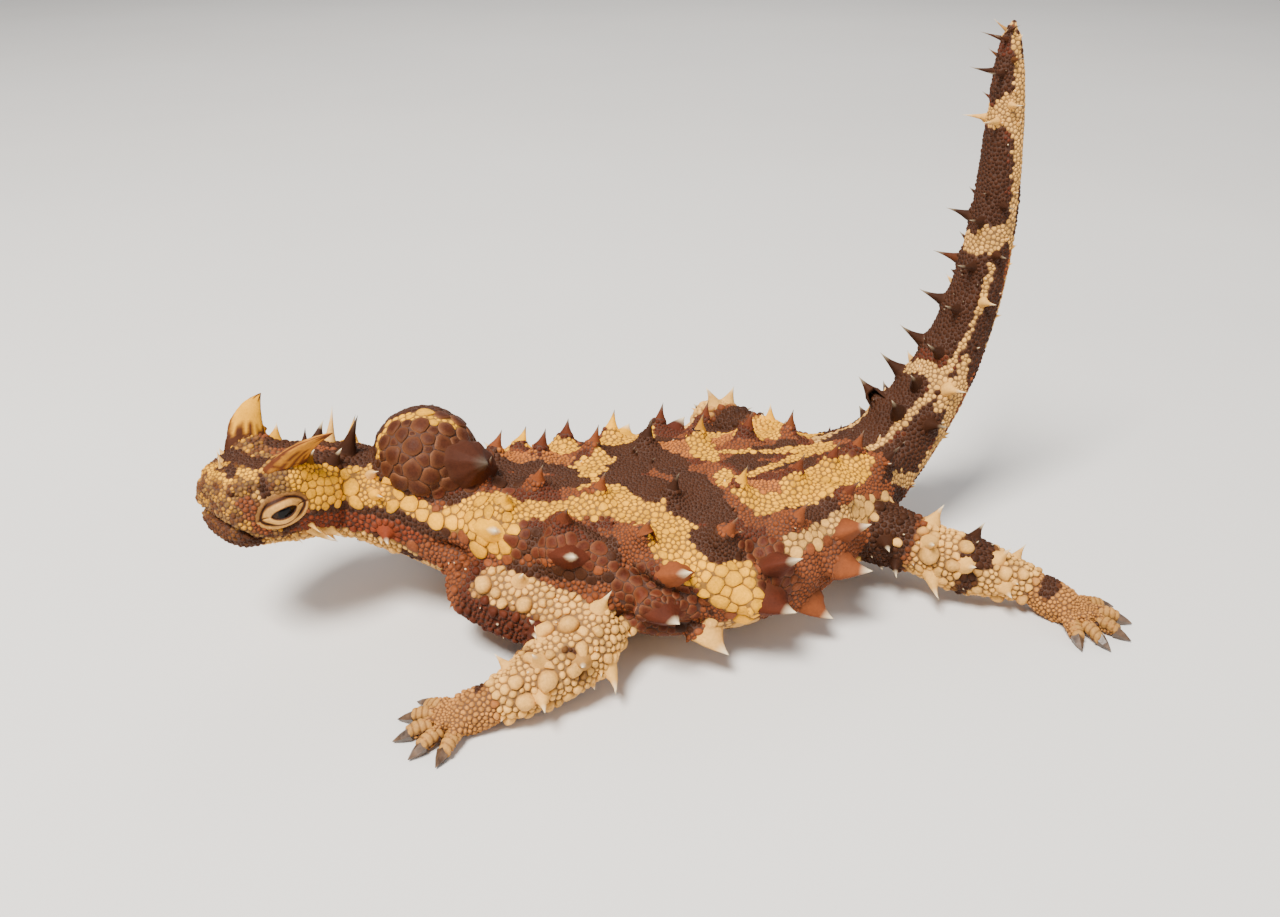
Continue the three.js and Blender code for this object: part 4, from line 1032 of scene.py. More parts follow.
plateFlow = lieOfCoat(plateWays, platePlace)
plateSide = np.cross(plateWays, plateFlow)
neighbourTree = searchTree(plateSpots)
around = coatPlan["neighbours"]
nearPlates = [neighbourTree.find_n(spot, around + 1) for spot in plateSpots.tolist()]
neighbours = np.array([[hit[1] for hit in hits] for hits in nearPlates])


def rimOf(chosen, sides):
    turn = np.arange(sides) * 2 * math.pi / sides
    ways = plateFlow[chosen][:, None] * np.cos(turn)[None, :, None]
    ways = ways + plateSide[chosen][:, None] * np.sin(turn)[None, :, None]
    mine = plateHalf[chosen]
    reach = np.repeat(mine[:, None] * coatPlan["reach"], sides, 1)
    for k in range(1, around + 1):
        other = neighbours[chosen, k]
        step = plateSpots[other] - plateSpots[chosen]
        length = np.linalg.norm(step, axis=1)
        facing = (plateWays[other] * plateWays[chosen]).sum(1) > -0.1
        share = length * mine / (mine + plateHalf[other])
        slope = (ways * (step / length[:, None])[:, None]).sum(2)
        shorter = np.minimum(reach, share[:, None] / np.maximum(slope, 0.12))
        reach = np.where((slope > 0.12) & facing[:, None], shorter, reach)
    reach = np.maximum(reach - coatPlan["groove"] - mine[:, None] * 0.03, mine[:, None] * 0.4)
    ease = 0.25 if sides < 10 else 0.08
    return ways, (reach + np.roll(reach, 1, 1) * ease + np.roll(reach, -1, 1) * ease) / (1 + 2 * ease)


def unwrapped(place):
    bodyU = np.clip((place["degrees"] / 360 + 0.5) * 0.62 + 0.02, 0, 0.66)
    bodyV = np.clip(place["station"] / 21.5, 0, 1) * 0.96 + 0.02
    legU = 0.7 + np.maximum(place["leg"], 0) * 0.072 + (place["around"] / 360 + 0.5) * 0.06
    legV = np.clip(place["share"] / 4.2, 0, 1) * 0.96 + 0.02
    onLeg = place["leg"] >= 0
    return np.stack([np.where(onLeg, legU, bodyU), np.where(onLeg, legV, bodyV)], 1)


patchHalf = 0.0015  # half width of a plate's patch on the unwrap


def conedFaces(sides, ringCount):
    faces = []
    for r in range(ringCount - 1):
        for k in range(sides):
            a, b = r * sides + k, r * sides + (k + 1) % sides
            faces += [(a, b, b + sides), (a, b + sides, a + sides)]
    last = (ringCount - 1) * sides
    faces += [(last + k, last + (k + 1) % sides, ringCount * sides) for k in range(sides)]
    return np.array(faces)


def flatGroup(spots, faces, forms, uv, weights):
    count, size = spots.shape[:2]
    allFaces = faces[None] + (np.arange(count) * size)[:, None, None]
    repeated = {name: np.repeat(values, size) for name, values in weights.items()}
    return spots.reshape(-1, 3), allFaces.reshape(-1, 3), forms.reshape(-1, 4), uv.reshape(-1, 2), repeated


def plateGroup(chosen, form):
    sides, rings, rise = form["sides"], form["rings"], form["rise"]
    count = len(chosen)
    ways, reach = rimOf(chosen, sides)
    rim = plateSpots[chosen][:, None] + ways * reach[:, :, None]
    rim, rimWays = ontoHide(rim.reshape(-1, 3))
    rim = rim.reshape(count, sides, 3)
    rimWays = rimWays.reshape(count, sides, 3)
    mine = plateHalf[chosen]
    high = plateHeight[chosen] * mine
    root, out = plateSpots[chosen], plateWays[chosen]
    lean = plateFlow[chosen] * (domes["lean"] * mine)[:, None]
    spots = np.empty((count, len(rings) * sides + 1, 3))
    forms = np.zeros((count, len(rings) * sides + 1, 4))
    uv = np.empty((count, len(rings) * sides + 1, 2))
    turn = np.arange(sides) * 2 * math.pi / sides
    circle = np.stack([np.cos(turn), np.sin(turn)], 1) * patchHalf
    onSheet = unwrapped(rowsOf(platePlace, chosen))
    for r, (share, lift) in enumerate(zip(rings, rise)):
        part = slice(r * sides, (r + 1) * sides)
        flat = root[:, None] + (rim - root[:, None]) * share
        way = rimWays * share + out[:, None] * (1 - share)
        spots[:, part] = flat + way * (high * lift)[:, None, None] + lean[:, None] * max(lift, 0)
        forms[:, part, 0] = 1.0 if r == 0 else max(0.0, (share - 0.62) * 1.1)
        uv[:, part] = onSheet[:, None] + circle[None] * share
    spots[:, -1] = root + out * high[:, None] + lean
    uv[:, -1] = onSheet
    forms[:, :, 1] = plateTint[chosen][:, None]
    forms[:, :, 2] = paleCrack[chosen][:, None]
    forms[:, :, 3] = np.clip(mine / 1.2, 0, 1)[:, None]
    return flatGroup(spots, conedFaces(sides, len(rings)), forms, uv, rowsOf(plateWeights, chosen))


def joinedGroups(groups):
    spots, faces, forms, uv, weights, start = [], [], [], [], [], 0
    for group in groups:
        spots.append(group[0])
        faces.append(group[1] + start)
        forms.append(group[2])
        uv.append(group[3])
        weights.append(group[4])
        start += len(group[0])
    joinedWeights = {name: np.concatenate([w[name] for w in weights]) for name in weights[0]}
    return np.vstack(spots), np.vstack(faces), np.vstack(forms), np.vstack(uv), joinedWeights


def smoothed(mesh):
    mesh.polygons.foreach_set("use_smooth", np.ones(len(mesh.polygons), bool))


floorLift = 0.01  # nothing reaches below this height, in mm


def meshFrom(name, spots, faces):
    mesh = bpy.data.meshes.new(name)
    mesh.vertices.add(len(spots))
    spots = np.stack([spots[:, 0], spots[:, 1], np.maximum(spots[:, 2], floorLift)], 1)
    mesh.vertices.foreach_set("co", inFrame(spots).ravel())
    mesh.loops.add(len(faces) * 3)
    mesh.loops.foreach_set("vertex_index", faces.ravel().astype(np.int32))
    mesh.polygons.add(len(faces))
    mesh.polygons.foreach_set("loop_start", np.arange(len(faces), dtype=np.int32) * 3)
    smoothed(mesh)
    mesh.update(calc_edges=True)
    mesh.validate()
    return mesh


def giveMarkings(mesh, weights, forms):
    rows = np.stack([weights[name] for name in shadeNames] + [np.zeros(len(forms))], 1)
    for title, values in (("markingsA", rows[:, :4]), ("markingsB", rows[:, 4:]), ("form", forms)):
        layer = mesh.attributes.new(title, "FLOAT_COLOR", "POINT")
        layer.data.foreach_set("color", np.ascontiguousarray(values, dtype=np.float32).ravel())


def pieceFrom(name, mesh, material):
    piece = bpy.data.objects.new(name, mesh)
    bpy.context.collection.objects.link(piece)
    mesh.materials.append(material)
    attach(piece, "root")
    return piece


def coatPiece(name, groups, material):
    spots, faces, forms, uv, weights = joinedGroups(groups)
    mesh = meshFrom(name, spots, faces)
    giveMarkings(mesh, weights, forms)
    layer = mesh.uv_layers.new(name="OFBake")
    loops = np.empty(len(mesh.loops), np.int32)
    mesh.loops.foreach_get("vertex_index", loops)
    layer.data.foreach_set("uv", uv[loops].astype(np.float32).ravel())
    print(name, len(faces), "triangles")
    return pieceFrom(name, mesh, material)


onLeg = platePlace["leg"] >= 0
turnNow = np.abs(platePlace["degrees"])
bright = np.maximum(plateWeights["yellow"], plateWeights["cream"]) > 0.5
plateHeight = np.where(plateHalf > 0.5, domes["flat"], np.where(bright, domes["flatSmall"], domes["plain"]))
paleCrack = np.where((plateWeights["redDark"] > 0.4) & (plateHalf > 0.36) & ~onLeg, 1.0, 0.0)
plateHeight = np.where(onLeg, domes["limb"], plateHeight)
plateHeight = np.where(~onLeg & (platePlace["station"] < 6) & (turnNow > 120), domes["limb"], plateHeight)
plateHeight = np.where(onKnobNow, domes["knob"], plateHeight)
plateHeight = plateHeight * (0.85 + 0.3 * draw.rand(len(plateHeight)))
# the regions in the order of the choice: legs, head, neck, tail
regionTests = [onLeg, platePlace["station"] < 2.9, platePlace["station"] < 6.1, platePlace["station"] > 13.2]
spineChance = {"leg": 0.03, "head": 0.003, "neck": 0.003, "tail": 0.02, "side": 0.003, "back": 0.002}
spineShare = np.select(regionTests + [turnNow > 46], list(spineChance.values())[:5], spineChance["back"])
noSpine = onKnobNow | (plateHalf > 0.8) | (onLeg & (platePlace["share"] > 2.2))
spineShare = np.where(noSpine, 0, spineShare)
spiny = draw.rand(len(plateSpots)) < spineShare
plateTint = draw.rand(len(plateSpots))

regionOfPlate = np.select([platePlace["leg"] >= 2] + regionTests + [platePlace["degrees"] > 0],
                          ["legs_hind", "legs_fore", "head", "neck", "tail", "trunk_left"], "trunk_right")


# materials
hideColours = {
    "base": (0.2, 0.052, 0.015), "yellow": (0.82, 0.37, 0.002), "dark": (0.034, 0.0105, 0.0036),
    "cream": (0.72, 0.375, 0.085), "orange": (0.42, 0.13, 0.024), "redDark": (0.075, 0.0148, 0.0052),
    "red": (0.17, 0.03, 0.009), "tan": (0.2, 0.1, 0.026),
}


def newGroup(title, inputs, outputs):
    group = bpy.data.node_groups.new(title, "ShaderNodeTree")
    for name, kind, start in inputs:
        socket = group.interface.new_socket(name=name, in_out="INPUT", socket_type=kind)
        socket.default_value = start
    for name, kind in outputs:
        group.interface.new_socket(name=name, in_out="OUTPUT", socket_type=kind)
    return group, group.nodes.new("NodeGroupInput"), group.nodes.new("NodeGroupOutput")


def mixed(tree, factor, first, second):
    node = tree.nodes.new("ShaderNodeMix")
    node.data_type = "RGBA"
    for socket, value in ((node.inputs[0], factor), (node.inputs[6], first), (node.inputs[7], second)):
        if isinstance(value, bpy.types.NodeSocket):
            tree.links.new(value, socket)
        elif isinstance(value, tuple):
            socket.default_value = (*value, 1)[:4]
        else:
            socket.default_value = value
    return node.outputs[2]


def maths(tree, kind, first, second=0.0, clamp=False):
    node = tree.nodes.new("ShaderNodeMath")
    node.operation = kind
    node.use_clamp = clamp
    for socket, value in zip(node.inputs, (first, second)):
        if isinstance(value, bpy.types.NodeSocket):
            tree.links.new(value, socket)
        else:
            socket.default_value = value
    return node.outputs[0]


def noised(tree, size, detail=3.0, rough=0.55, vector=None):
    node = tree.nodes.new("ShaderNodeTexNoise")
    node.inputs["Scale"].default_value = size
    node.inputs["Detail"].default_value = detail
    node.inputs["Roughness"].default_value = rough
    if vector is None:
        vector = tree.nodes.new("ShaderNodeTexCoord").outputs["Object"]
    tree.links.new(vector, node.inputs["Vector"])
    return node.outputs["Fac"]


def ranged(tree, value, low, high, first=0.0, last=1.0):
    node = tree.nodes.new("ShaderNodeMapRange")
    node.clamp = True
    tree.links.new(value, node.inputs["Value"])
    for name, amount in (("From Min", low), ("From Max", high), ("To Min", first), ("To Max", last)):
        node.inputs[name].default_value = amount
    return node.outputs["Result"]


def attributeOf(tree, title):
    node = tree.nodes.new("ShaderNodeAttribute")
    node.attribute_name = title
    return node


def channels(tree, colour):
    node = tree.nodes.new("ShaderNodeSeparateColor")
    tree.links.new(colour, node.inputs[0])
    return node.outputs


def buildMarkedHide():
    inputs = [(name, "NodeSocketColor", (*colour, 1)) for name, colour in hideColours.items()]
    group, start, end = newGroup("markedHide", inputs, [("Colour", "NodeSocketColor")])
    first, second = attributeOf(group, "markingsA"), attributeOf(group, "markingsB")
    colour = start.outputs["base"]
    parts = channels(group, second.outputs["Color"])
    for name, share in (("red", parts[1]), ("tan", parts[2]), ("redDark", parts[0])):
        colour = mixed(group, share, colour, start.outputs[name])
    parts = channels(group, first.outputs["Color"])
    shares = {"orange": first.outputs["Alpha"], "cream": parts[2], "yellow": parts[0], "dark": parts[1]}
    for name, share in shares.items():
        colour = mixed(group, share, colour, start.outputs[name])
    group.links.new(colour, end.inputs["Colour"])
    return group


def buildHideGrain():
    inputs = [("Mottle", "NodeSocketFloat", 0.3), ("Stipple", "NodeSocketFloat", 0.3)]
    group, start, end = newGroup("hideGrain", inputs,
                                 [("Tone", "NodeSocketFloat"), ("Height", "NodeSocketFloat")])
    broad = ranged(group, noised(group, 260, 4), 0.3, 0.7, -1, 1)
    fine = ranged(group, noised(group, 2600, 3, 0.7), 0.3, 0.7, -1, 1)
    tone = maths(group, "ADD", maths(group, "MULTIPLY", broad, start.outputs["Mottle"]),
                 maths(group, "MULTIPLY", fine, start.outputs["Stipple"]))
    group.links.new(maths(group, "ADD", tone, 1.0), end.inputs["Tone"])
    pits = maths(group, "ADD", noised(group, 3800, 2, 0.6),
                 maths(group, "MULTIPLY", noised(group, 1200, 2), 0.8))
    group.links.new(pits, end.inputs["Height"])
    return group


markedHide, hideGrain = buildMarkedHide(), buildHideGrain()


def newMaterial(title):
    material = bpy.data.materials.new(title)
    material.use_nodes = True
    tree = material.node_tree
    return material, tree, tree.nodes["Principled BSDF"]


def placed(tree, group, **values):
    node = tree.nodes.new("ShaderNodeGroup")
    node.node_tree = group
    for name, value in values.items():
        node.inputs[name].default_value = value
    return node


def toned(tree, colour, tone):
    node = tree.nodes.new("ShaderNodeVectorMath")
    node.operation = "SCALE"
    tree.links.new(colour, node.inputs[0])
    tree.links.new(tone, node.inputs["Scale"])
    return node.outputs[0]


def bumped(tree, surface, height, strength, distance):
    node = tree.nodes.new("ShaderNodeBump")
    node.inputs["Strength"].default_value = strength
    node.inputs["Distance"].default_value = distance
    tree.links.new(height, node.inputs["Height"])
    tree.links.new(node.outputs["Normal"], surface.inputs["Normal"])


def dressed(tree, surface, colour, rough, height, finish):
    tree.links.new(colour, surface.inputs["Base Color"])
    tree.links.new(rough, surface.inputs["Roughness"])
    surface.inputs["Specular IOR Level"].default_value = finish["shine"]
    bumped(tree, surface, height, *finish["bump"])


# shine is the specular level, and bump is a strength and a height in metres
scaleFinish = {
    "mottle": 0.2, "stipple": 0.2, "rim": 0.86, "tint": 0.34, "roughness": (0.5, 0.74), "shine": 0.14,
    "crack": (0.085, 0.028, 0.01), "paleCrack": (0.3, 0.12, 0.045), "crackShare": 0.82,
    "bump": (0.45, 0.00012),
}


def scaleMaterial():
    material, tree, surface = newMaterial("scaledHide")
    colour = placed(tree, markedHide).outputs["Colour"]
    grain = placed(tree, hideGrain, Mottle=scaleFinish["mottle"], Stipple=scaleFinish["stipple"])
    parts = channels(tree, attributeOf(tree, "form").outputs["Color"])
    tint = ranged(tree, parts[1], 0, 1, -scaleFinish["tint"] / 2, scaleFinish["tint"] / 2)
    tone = maths(tree, "ADD", grain.outputs["Tone"], tint)
    colour = toned(tree, colour, tone)
    crack = mixed(tree, parts[2], scaleFinish["crack"], scaleFinish["paleCrack"])
    rim = mixed(tree, scaleFinish["crackShare"], colour, crack)
    colour = mixed(tree, maths(tree, "MULTIPLY", parts[0], scaleFinish["rim"], True), colour, rim)
    rough = ranged(tree, grain.outputs["Height"], 0.6, 1.2, *scaleFinish["roughness"])
    dressed(tree, surface, colour, rough, grain.outputs["Height"], scaleFinish)
    return material


# the bare hide shows only in the gaps and folds between plates; its colour is mixed towards the dark groove
# colour as painted shade in these recesses
skinFinish = {
    "mottle": 0.2, "stipple": 0.3, "groove": (0.05, 0.018, 0.008), "grooveShadeShare": 0.8, "shine": 0.5,
    "roughness": (0.7, 0.9), "bump": (0.5, 0.0002),
}


def skinMaterial():
    material, tree, surface = newMaterial("bareHide")
    colour = placed(tree, markedHide).outputs["Colour"]
    grain = placed(tree, hideGrain, Mottle=skinFinish["mottle"], Stipple=skinFinish["stipple"])
    colour = toned(tree, colour, grain.outputs["Tone"])
    # painted shade: the bare hide is mixed towards the dark groove colour
    colour = mixed(tree, skinFinish["grooveShadeShare"], colour, skinFinish["groove"])
    rough = ranged(tree, grain.outputs["Height"], 0.6, 1.2, *skinFinish["roughness"])
    dressed(tree, surface, colour, rough, grain.outputs["Height"], skinFinish)
    return material


thornFinish = {
    "mottle": 0.18, "stipple": 0.12, "darkTip": (0.035, 0.02, 0.016), "paleTip": (0.86, 0.68, 0.42),
    "tipFrom": (0.45, 0.86), "foot": (0.08, 0.03, 0.014), "footShare": 0.8, "rim": 0.7,
    "roughness": (0.75, 0.5), "shine": 0.14, "bump": (0.3, 0.00012),
}


def thornMaterial():
    material, tree, surface = newMaterial("thornHorn")
    colour = placed(tree, markedHide).outputs["Colour"]
    grain = placed(tree, hideGrain, Mottle=thornFinish["mottle"], Stipple=thornFinish["stipple"])
    form = attributeOf(tree, "form")
    parts = channels(tree, form.outputs["Color"])
    colour = toned(tree, colour, grain.outputs["Tone"])
    tip = mixed(tree, form.outputs["Alpha"], thornFinish["darkTip"], thornFinish["paleTip"])
    colour = mixed(tree, ranged(tree, parts[2], *thornFinish["tipFrom"]), colour, tip)
    rim = mixed(tree, thornFinish["footShare"], colour, thornFinish["foot"])
    colour = mixed(tree, maths(tree, "MULTIPLY", parts[0], thornFinish["rim"], True), colour, rim)
    rough = ranged(tree, parts[2], 0.1, 0.9, *thornFinish["roughness"])
    dressed(tree, surface, colour, rough, grain.outputs["Height"], thornFinish)
    return material


clawFinish = {
    "streak": 900, "dark": (0.035, 0.018, 0.01), "pale": (0.13, 0.07, 0.035), "roughness": (0.3, 0.48),
    "shine": 0.5, "bump": (0.2, 0.0001),
}


def clawMaterial():
    material, tree, surface = newMaterial("clawHorn")
    streak = noised(tree, clawFinish["streak"], 3)
    colour = mixed(tree, ranged(tree, streak, 0.3, 0.7), clawFinish["dark"], clawFinish["pale"])
    rough = ranged(tree, streak, 0.3, 0.7, *clawFinish["roughness"])
    dressed(tree, surface, colour, rough, noised(tree, 3000, 2), clawFinish)
    return material


eyeFinish = {
    "pupil": (0.003, 0.003, 0.003), "pupilEdge": (0.36, 0.42), "iris": (0.008, 0.003, 0.0015),
    "irisRay": (0.035, 0.014, 0.005), "irisEdge": (0.7, 0.8), "white": (0.02, 0.012, 0.008),
    "roughness": (0.06, 0.1), "shine": 0.12, "film": (0.05, 0.03),
}


def eyeMaterial():
    material, tree, surface = newMaterial("eyeball")
    parts = channels(tree, attributeOf(tree, "gaze").outputs["Color"])
    rays = noised(tree, 2500, 4)
    iris = mixed(tree, ranged(tree, rays, 0.35, 0.65), eyeFinish["iris"], eyeFinish["irisRay"])
    colour = mixed(tree, ranged(tree, parts[0], *eyeFinish["pupilEdge"]), eyeFinish["pupil"], iris)
    colour = mixed(tree, ranged(tree, parts[0], *eyeFinish["irisEdge"]), colour, eyeFinish["white"])
    tree.links.new(colour, surface.inputs["Base Color"])
    tree.links.new(ranged(tree, rays, 0.3, 0.7, *eyeFinish["roughness"]), surface.inputs["Roughness"])
    surface.inputs["Specular IOR Level"].default_value = eyeFinish["shine"]
    surface.inputs["Coat Weight"].default_value = eyeFinish["film"][0]
    surface.inputs["Coat Roughness"].default_value = eyeFinish["film"][1]
    return material


finishes = {
    "scale": scaleMaterial(), "skin": skinMaterial(), "thorn": thornMaterial(), "claw": clawMaterial(),
    "eye": eyeMaterial(),
}

# the hide itself
hideMesh.vertices.foreach_set("co", inFrame(hideSpots).ravel())
hideMesh.name = "hide"
smoothed(hideMesh)
hideMesh.materials.clear()
plainForm = np.zeros((len(hideSpots), 4))
giveMarkings(hideMesh, hideWeights, plainForm)
hideMesh.update()
hidePiece = pieceFrom("hide", hideMesh, finishes["skin"])
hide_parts(*fleshNodes)

# the coat of plates, by region
small = (plateHalf < 0.5) & ~spiny
dome = (plateHalf >= 0.5) & ~spiny & (plateHeight > 0.5)
large = (plateHalf >= 0.5) & ~spiny & ~dome
for region in sorted(set(regionOfPlate)):
    here = regionOfPlate == region
    groups = [plateGroup(np.where(here & group)[0], plateForms[form])
              for group, form in ((small, "small"), (large, "large"), (dome, "dome"))]
    coatPiece(f"coat_{region}", groups, finishes["scale"])


# rings of a thorn: share of the way up, share of the foot
thornRings = ((0.0, 1.0), (0.07, 0.8), (0.2, 0.55), (0.42, 0.29), (0.7, 0.11))
keeledRings = ((0.0, 1.0), (0.1, 0.84), (0.27, 0.6), (0.5, 0.33), (0.74, 0.14), (0.9, 0.05))
keeledThorns = dict(thornPlan, flat=0.24, sides=20, ridges=10, ridge=0.04)
greatThorns = dict(thornPlan, flat=0.12, sides=36, ridges=9, ridge=0.045)
spineRings = ((0.0, 1.0), (0.2, 0.62), (0.55, 0.24))


def castDown(spots, way, reach=2.5):
    found = np.empty_like(spots)
    for k in range(len(spots)):
        start = spots[k] + way[k] * reach
        where = hideTree.ray_cast(start.tolist(), (-way[k]).tolist(), reach * 2.4)[0]
        if where is None:
            where = hideTree.find_nearest(spots[k].tolist())[0]
        lift = (np.array(where) - spots[k]) @ way[k]
        found[k] = spots[k] + way[k] * min(max(lift, -thornPlan["drop"]), thornPlan["rise"])
    return found


def thornGroup(root, rootWay, top, radius, back, place, weights, tipShade, tint, rings, plan):
    count, sides = len(root), plan["sides"]
    axis = top - root
    reach = np.linalg.norm(axis, axis=1)
    axis = axis / reach[:, None]
    turn = np.arange(sides) * 2 * math.pi / sides
    keel = 1 - plan["flat"] + 2 * plan["flat"] * np.abs(np.cos(turn)) ** 3
    ridge = 1 + plan.get("ridge", 0) * np.cos(plan.get("ridges", 0) * turn)
    size = len(rings) * sides + 1
    spots = np.empty((count, size, 3))
    forms = np.zeros((count, size, 4))
    uv = np.empty((count, size, 2))
    patch = np.stack([np.cos(turn), np.sin(turn)], 1) * patchHalf
    onSheet = unwrapped(place)
    for r, (share, width) in enumerate(rings):
        part = slice(r * sides, (r + 1) * sides)
        level = rootWay + (axis - rootWay) * min(share * 2.2, 1)
        level = units(level)
        side = np.cross(level, back)
        side /= np.maximum(np.linalg.norm(side, axis=1), 1e-6)[:, None]
        fore = np.cross(side, level)
        centre = root + axis * (reach * share)[:, None]
        centre = centre + rootWay * (reach * plan["bend"] * math.sin(math.pi * share))[:, None]
        across = fore[:, None] * (np.cos(turn) * keel * ridge)[None, :, None]
        across = across + side[:, None] * (np.sin(turn) * ridge * (1 - plan["flat"]))[None, :, None]
        ring = centre[:, None] + across * (radius * width)[:, None, None]
        if r == 0:
            down = np.repeat(rootWay, sides, 0)
            ring = (castDown(ring.reshape(-1, 3), down) - down * plan["sunk"]).reshape(count, sides, 3)
            root = ring.mean(1) * 0.6 + (root - rootWay * plan["sunk"]) * 0.4
            axis = top - root
            reach = np.linalg.norm(axis, axis=1)
            axis = axis / reach[:, None]
        spots[:, part] = ring
        forms[:, part, 0] = 1.0 if r == 0 else 0.0
        forms[:, part, 2] = share
        uv[:, part] = onSheet[:, None] + patch[None] * (1 - share)
    spots[:, -1] = top
    uv[:, -1] = onSheet
    forms[:, -1, 2] = 1
    forms[:, :, 1] = tint[:, None]
    forms[:, :, 3] = tipShade[:, None]
    return flatGroup(spots, conedFaces(sides, len(rings)), forms, uv, weights)


thornWeights = markings(thornRoot, thornPlace)
thornTurn = np.abs(thornPlace["degrees"])
darkFoot = np.maximum(thornWeights["dark"], thornWeights["redDark"]) > 0.5
tipShade = np.where((thornTurn < 56) & onTrunk, 0.12, 1.0)  # 0 is the dark tip, 1 the pale one
tipShade = np.where(onTail & darkFoot, 0.35, tipShade)
tipShade = np.where((nodeOfThorn == "neck") & (thornTurn < 60), 0.3, tipShade)
tipShade = np.where((nodeOfThorn == "nape_knob") | (nodeOfThorn == "nape_dark"), 0.05, tipShade)
for name in shadeNames:
    thornWeights[name] = np.where(nodeOfThorn == "nape_cream", 1.0 * (name == "cream"), thornWeights[name])
thornWeights["dark"] = np.where(nodeOfThorn == "nape_knob", knobDark, thornWeights["dark"])
thornBack = sectionFrames(thornPlace["station"])[1]
# how much longer than in the frame, as a share: thorns of the back, the tail, the flanks, and the rest
longer = np.select([onMound & onTrunk, onMound, onTrunk], [0.85, 0.28, 0.32], thornPlan["longer"])
thornLong = thornTop + thornWay * (np.maximum(thornReach, 1.6) * longer)[:, None]
thornTint = draw.rand(len(thornRoot))


def thornsOf(chosen, rings, plan):
    part = rowsOf(thornPlace, chosen)
    shades = rowsOf(thornWeights, chosen)
    return thornGroup(thornRoot[chosen], thornRootWay[chosen], thornLong[chosen], thornRadius[chosen],
                      thornBack[chosen], part, shades, tipShade[chosen], thornTint[chosen], rings, plan)


great = nodeOfThorn == "nape_knob"
keeled = onTrunk & (thornTurn > backThorns)
thornSets = [thornsOf(~great & ~keeled, thornRings, thornPlan), thornsOf(keeled, keeledRings, keeledThorns),
             thornsOf(great, keeledRings, greatThorns)]

# small spines stand in the place of some plates
spinePlan = {
    "sides": 6, "bend": 0.1, "flat": 0.05, "sunk": 0.08, "lean": 0.55, "stray": 0.12, "foot": 1.35,
    "width": (0.26, 0.6), "height": (0.6, 1.2),
}
root, rootWay = plateSpots[spiny], plateWays[spiny]
spineStray = draw.randn(spiny.sum(), 3) * spinePlan["stray"]
spineWay = units(rootWay + plateFlow[spiny] * spinePlan["lean"] + spineStray)
shortest, longest = spinePlan["height"]
spineHigh = shortest + (longest - shortest) * draw.rand(spiny.sum()) ** 2
spinePlace = rowsOf(platePlace, spiny)
spineWeights = rowsOf(plateWeights, spiny)
spineDark = np.maximum(spineWeights["dark"], spineWeights["redDark"]) > 0.5
spineLow = (spinePlace["leg"] >= 0) | (np.abs(spinePlace["degrees"]) > 60)
spineShade = np.where(spineDark & ~spineLow, 0.2, 1.0)
spineTop = root + spineWay * spineHigh[:, None]
spineRadius = np.clip(plateHalf[spiny], *spinePlan["width"]) * spinePlan["foot"]
spines = thornGroup(root, rootWay, spineTop, spineRadius, plateFlow[spiny], spinePlace, spineWeights,
                    spineShade, draw.rand(spiny.sum()), spineRings, spinePlan)
coatPiece("thorns", thornSets + [spines], finishes["thorn"])


def ringedSheet(count, sides, sheet=None):
    sheet = sheet or bmesh.new()
    ring = list(bmesh.ops.create_circle(sheet, segments=sides, radius=1)["verts"])
    rings = [ring]
    for k in range(count - 1):
        members = set(ring)
        loop = [edge for edge in sheet.edges if edge.verts[0] in members and edge.verts[1] in members]
        made = bmesh.ops.extrude_edge_only(sheet, edges=loop)["geom"]
        fresh = [item for item in made if isinstance(item, bmesh.types.BMVert)]
        ring = [min(fresh, key=lambda vert: (vert.co - old.co).length) for old in ring]
        for vert in ring:
            vert.co *= 1.05
        rings.append(ring)
    return sheet, rings


def sheetMesh(sheet, name):
    mesh = bpy.data.meshes.new(name)
    sheet.to_mesh(mesh)
    sheet.free()
    mesh.vertices.foreach_set("co", inFrame(vertexArray(mesh)).ravel())
    smoothed(mesh)
    return mesh


def finishedSheet(sheet, name, finish="scale"):
    bmesh.ops.holes_fill(sheet, edges=[edge for edge in sheet.edges if edge.is_boundary], sides=0)
    bmesh.ops.recalc_face_normals(sheet, faces=sheet.faces)
    return pieceFrom(name, sheetMesh(sheet, name), finishes[finish])


toePlan = {
    "rings": 17, "sides": 14, "back": 2.6, "ahead": 0.55, "radius": (1.02, 0.8), "high": 0.86,
    "scutes": 4, "start": 1.45, "base": 0.95, "arch": 0.35, "cream": 0.5, "tan": 0.35,
}


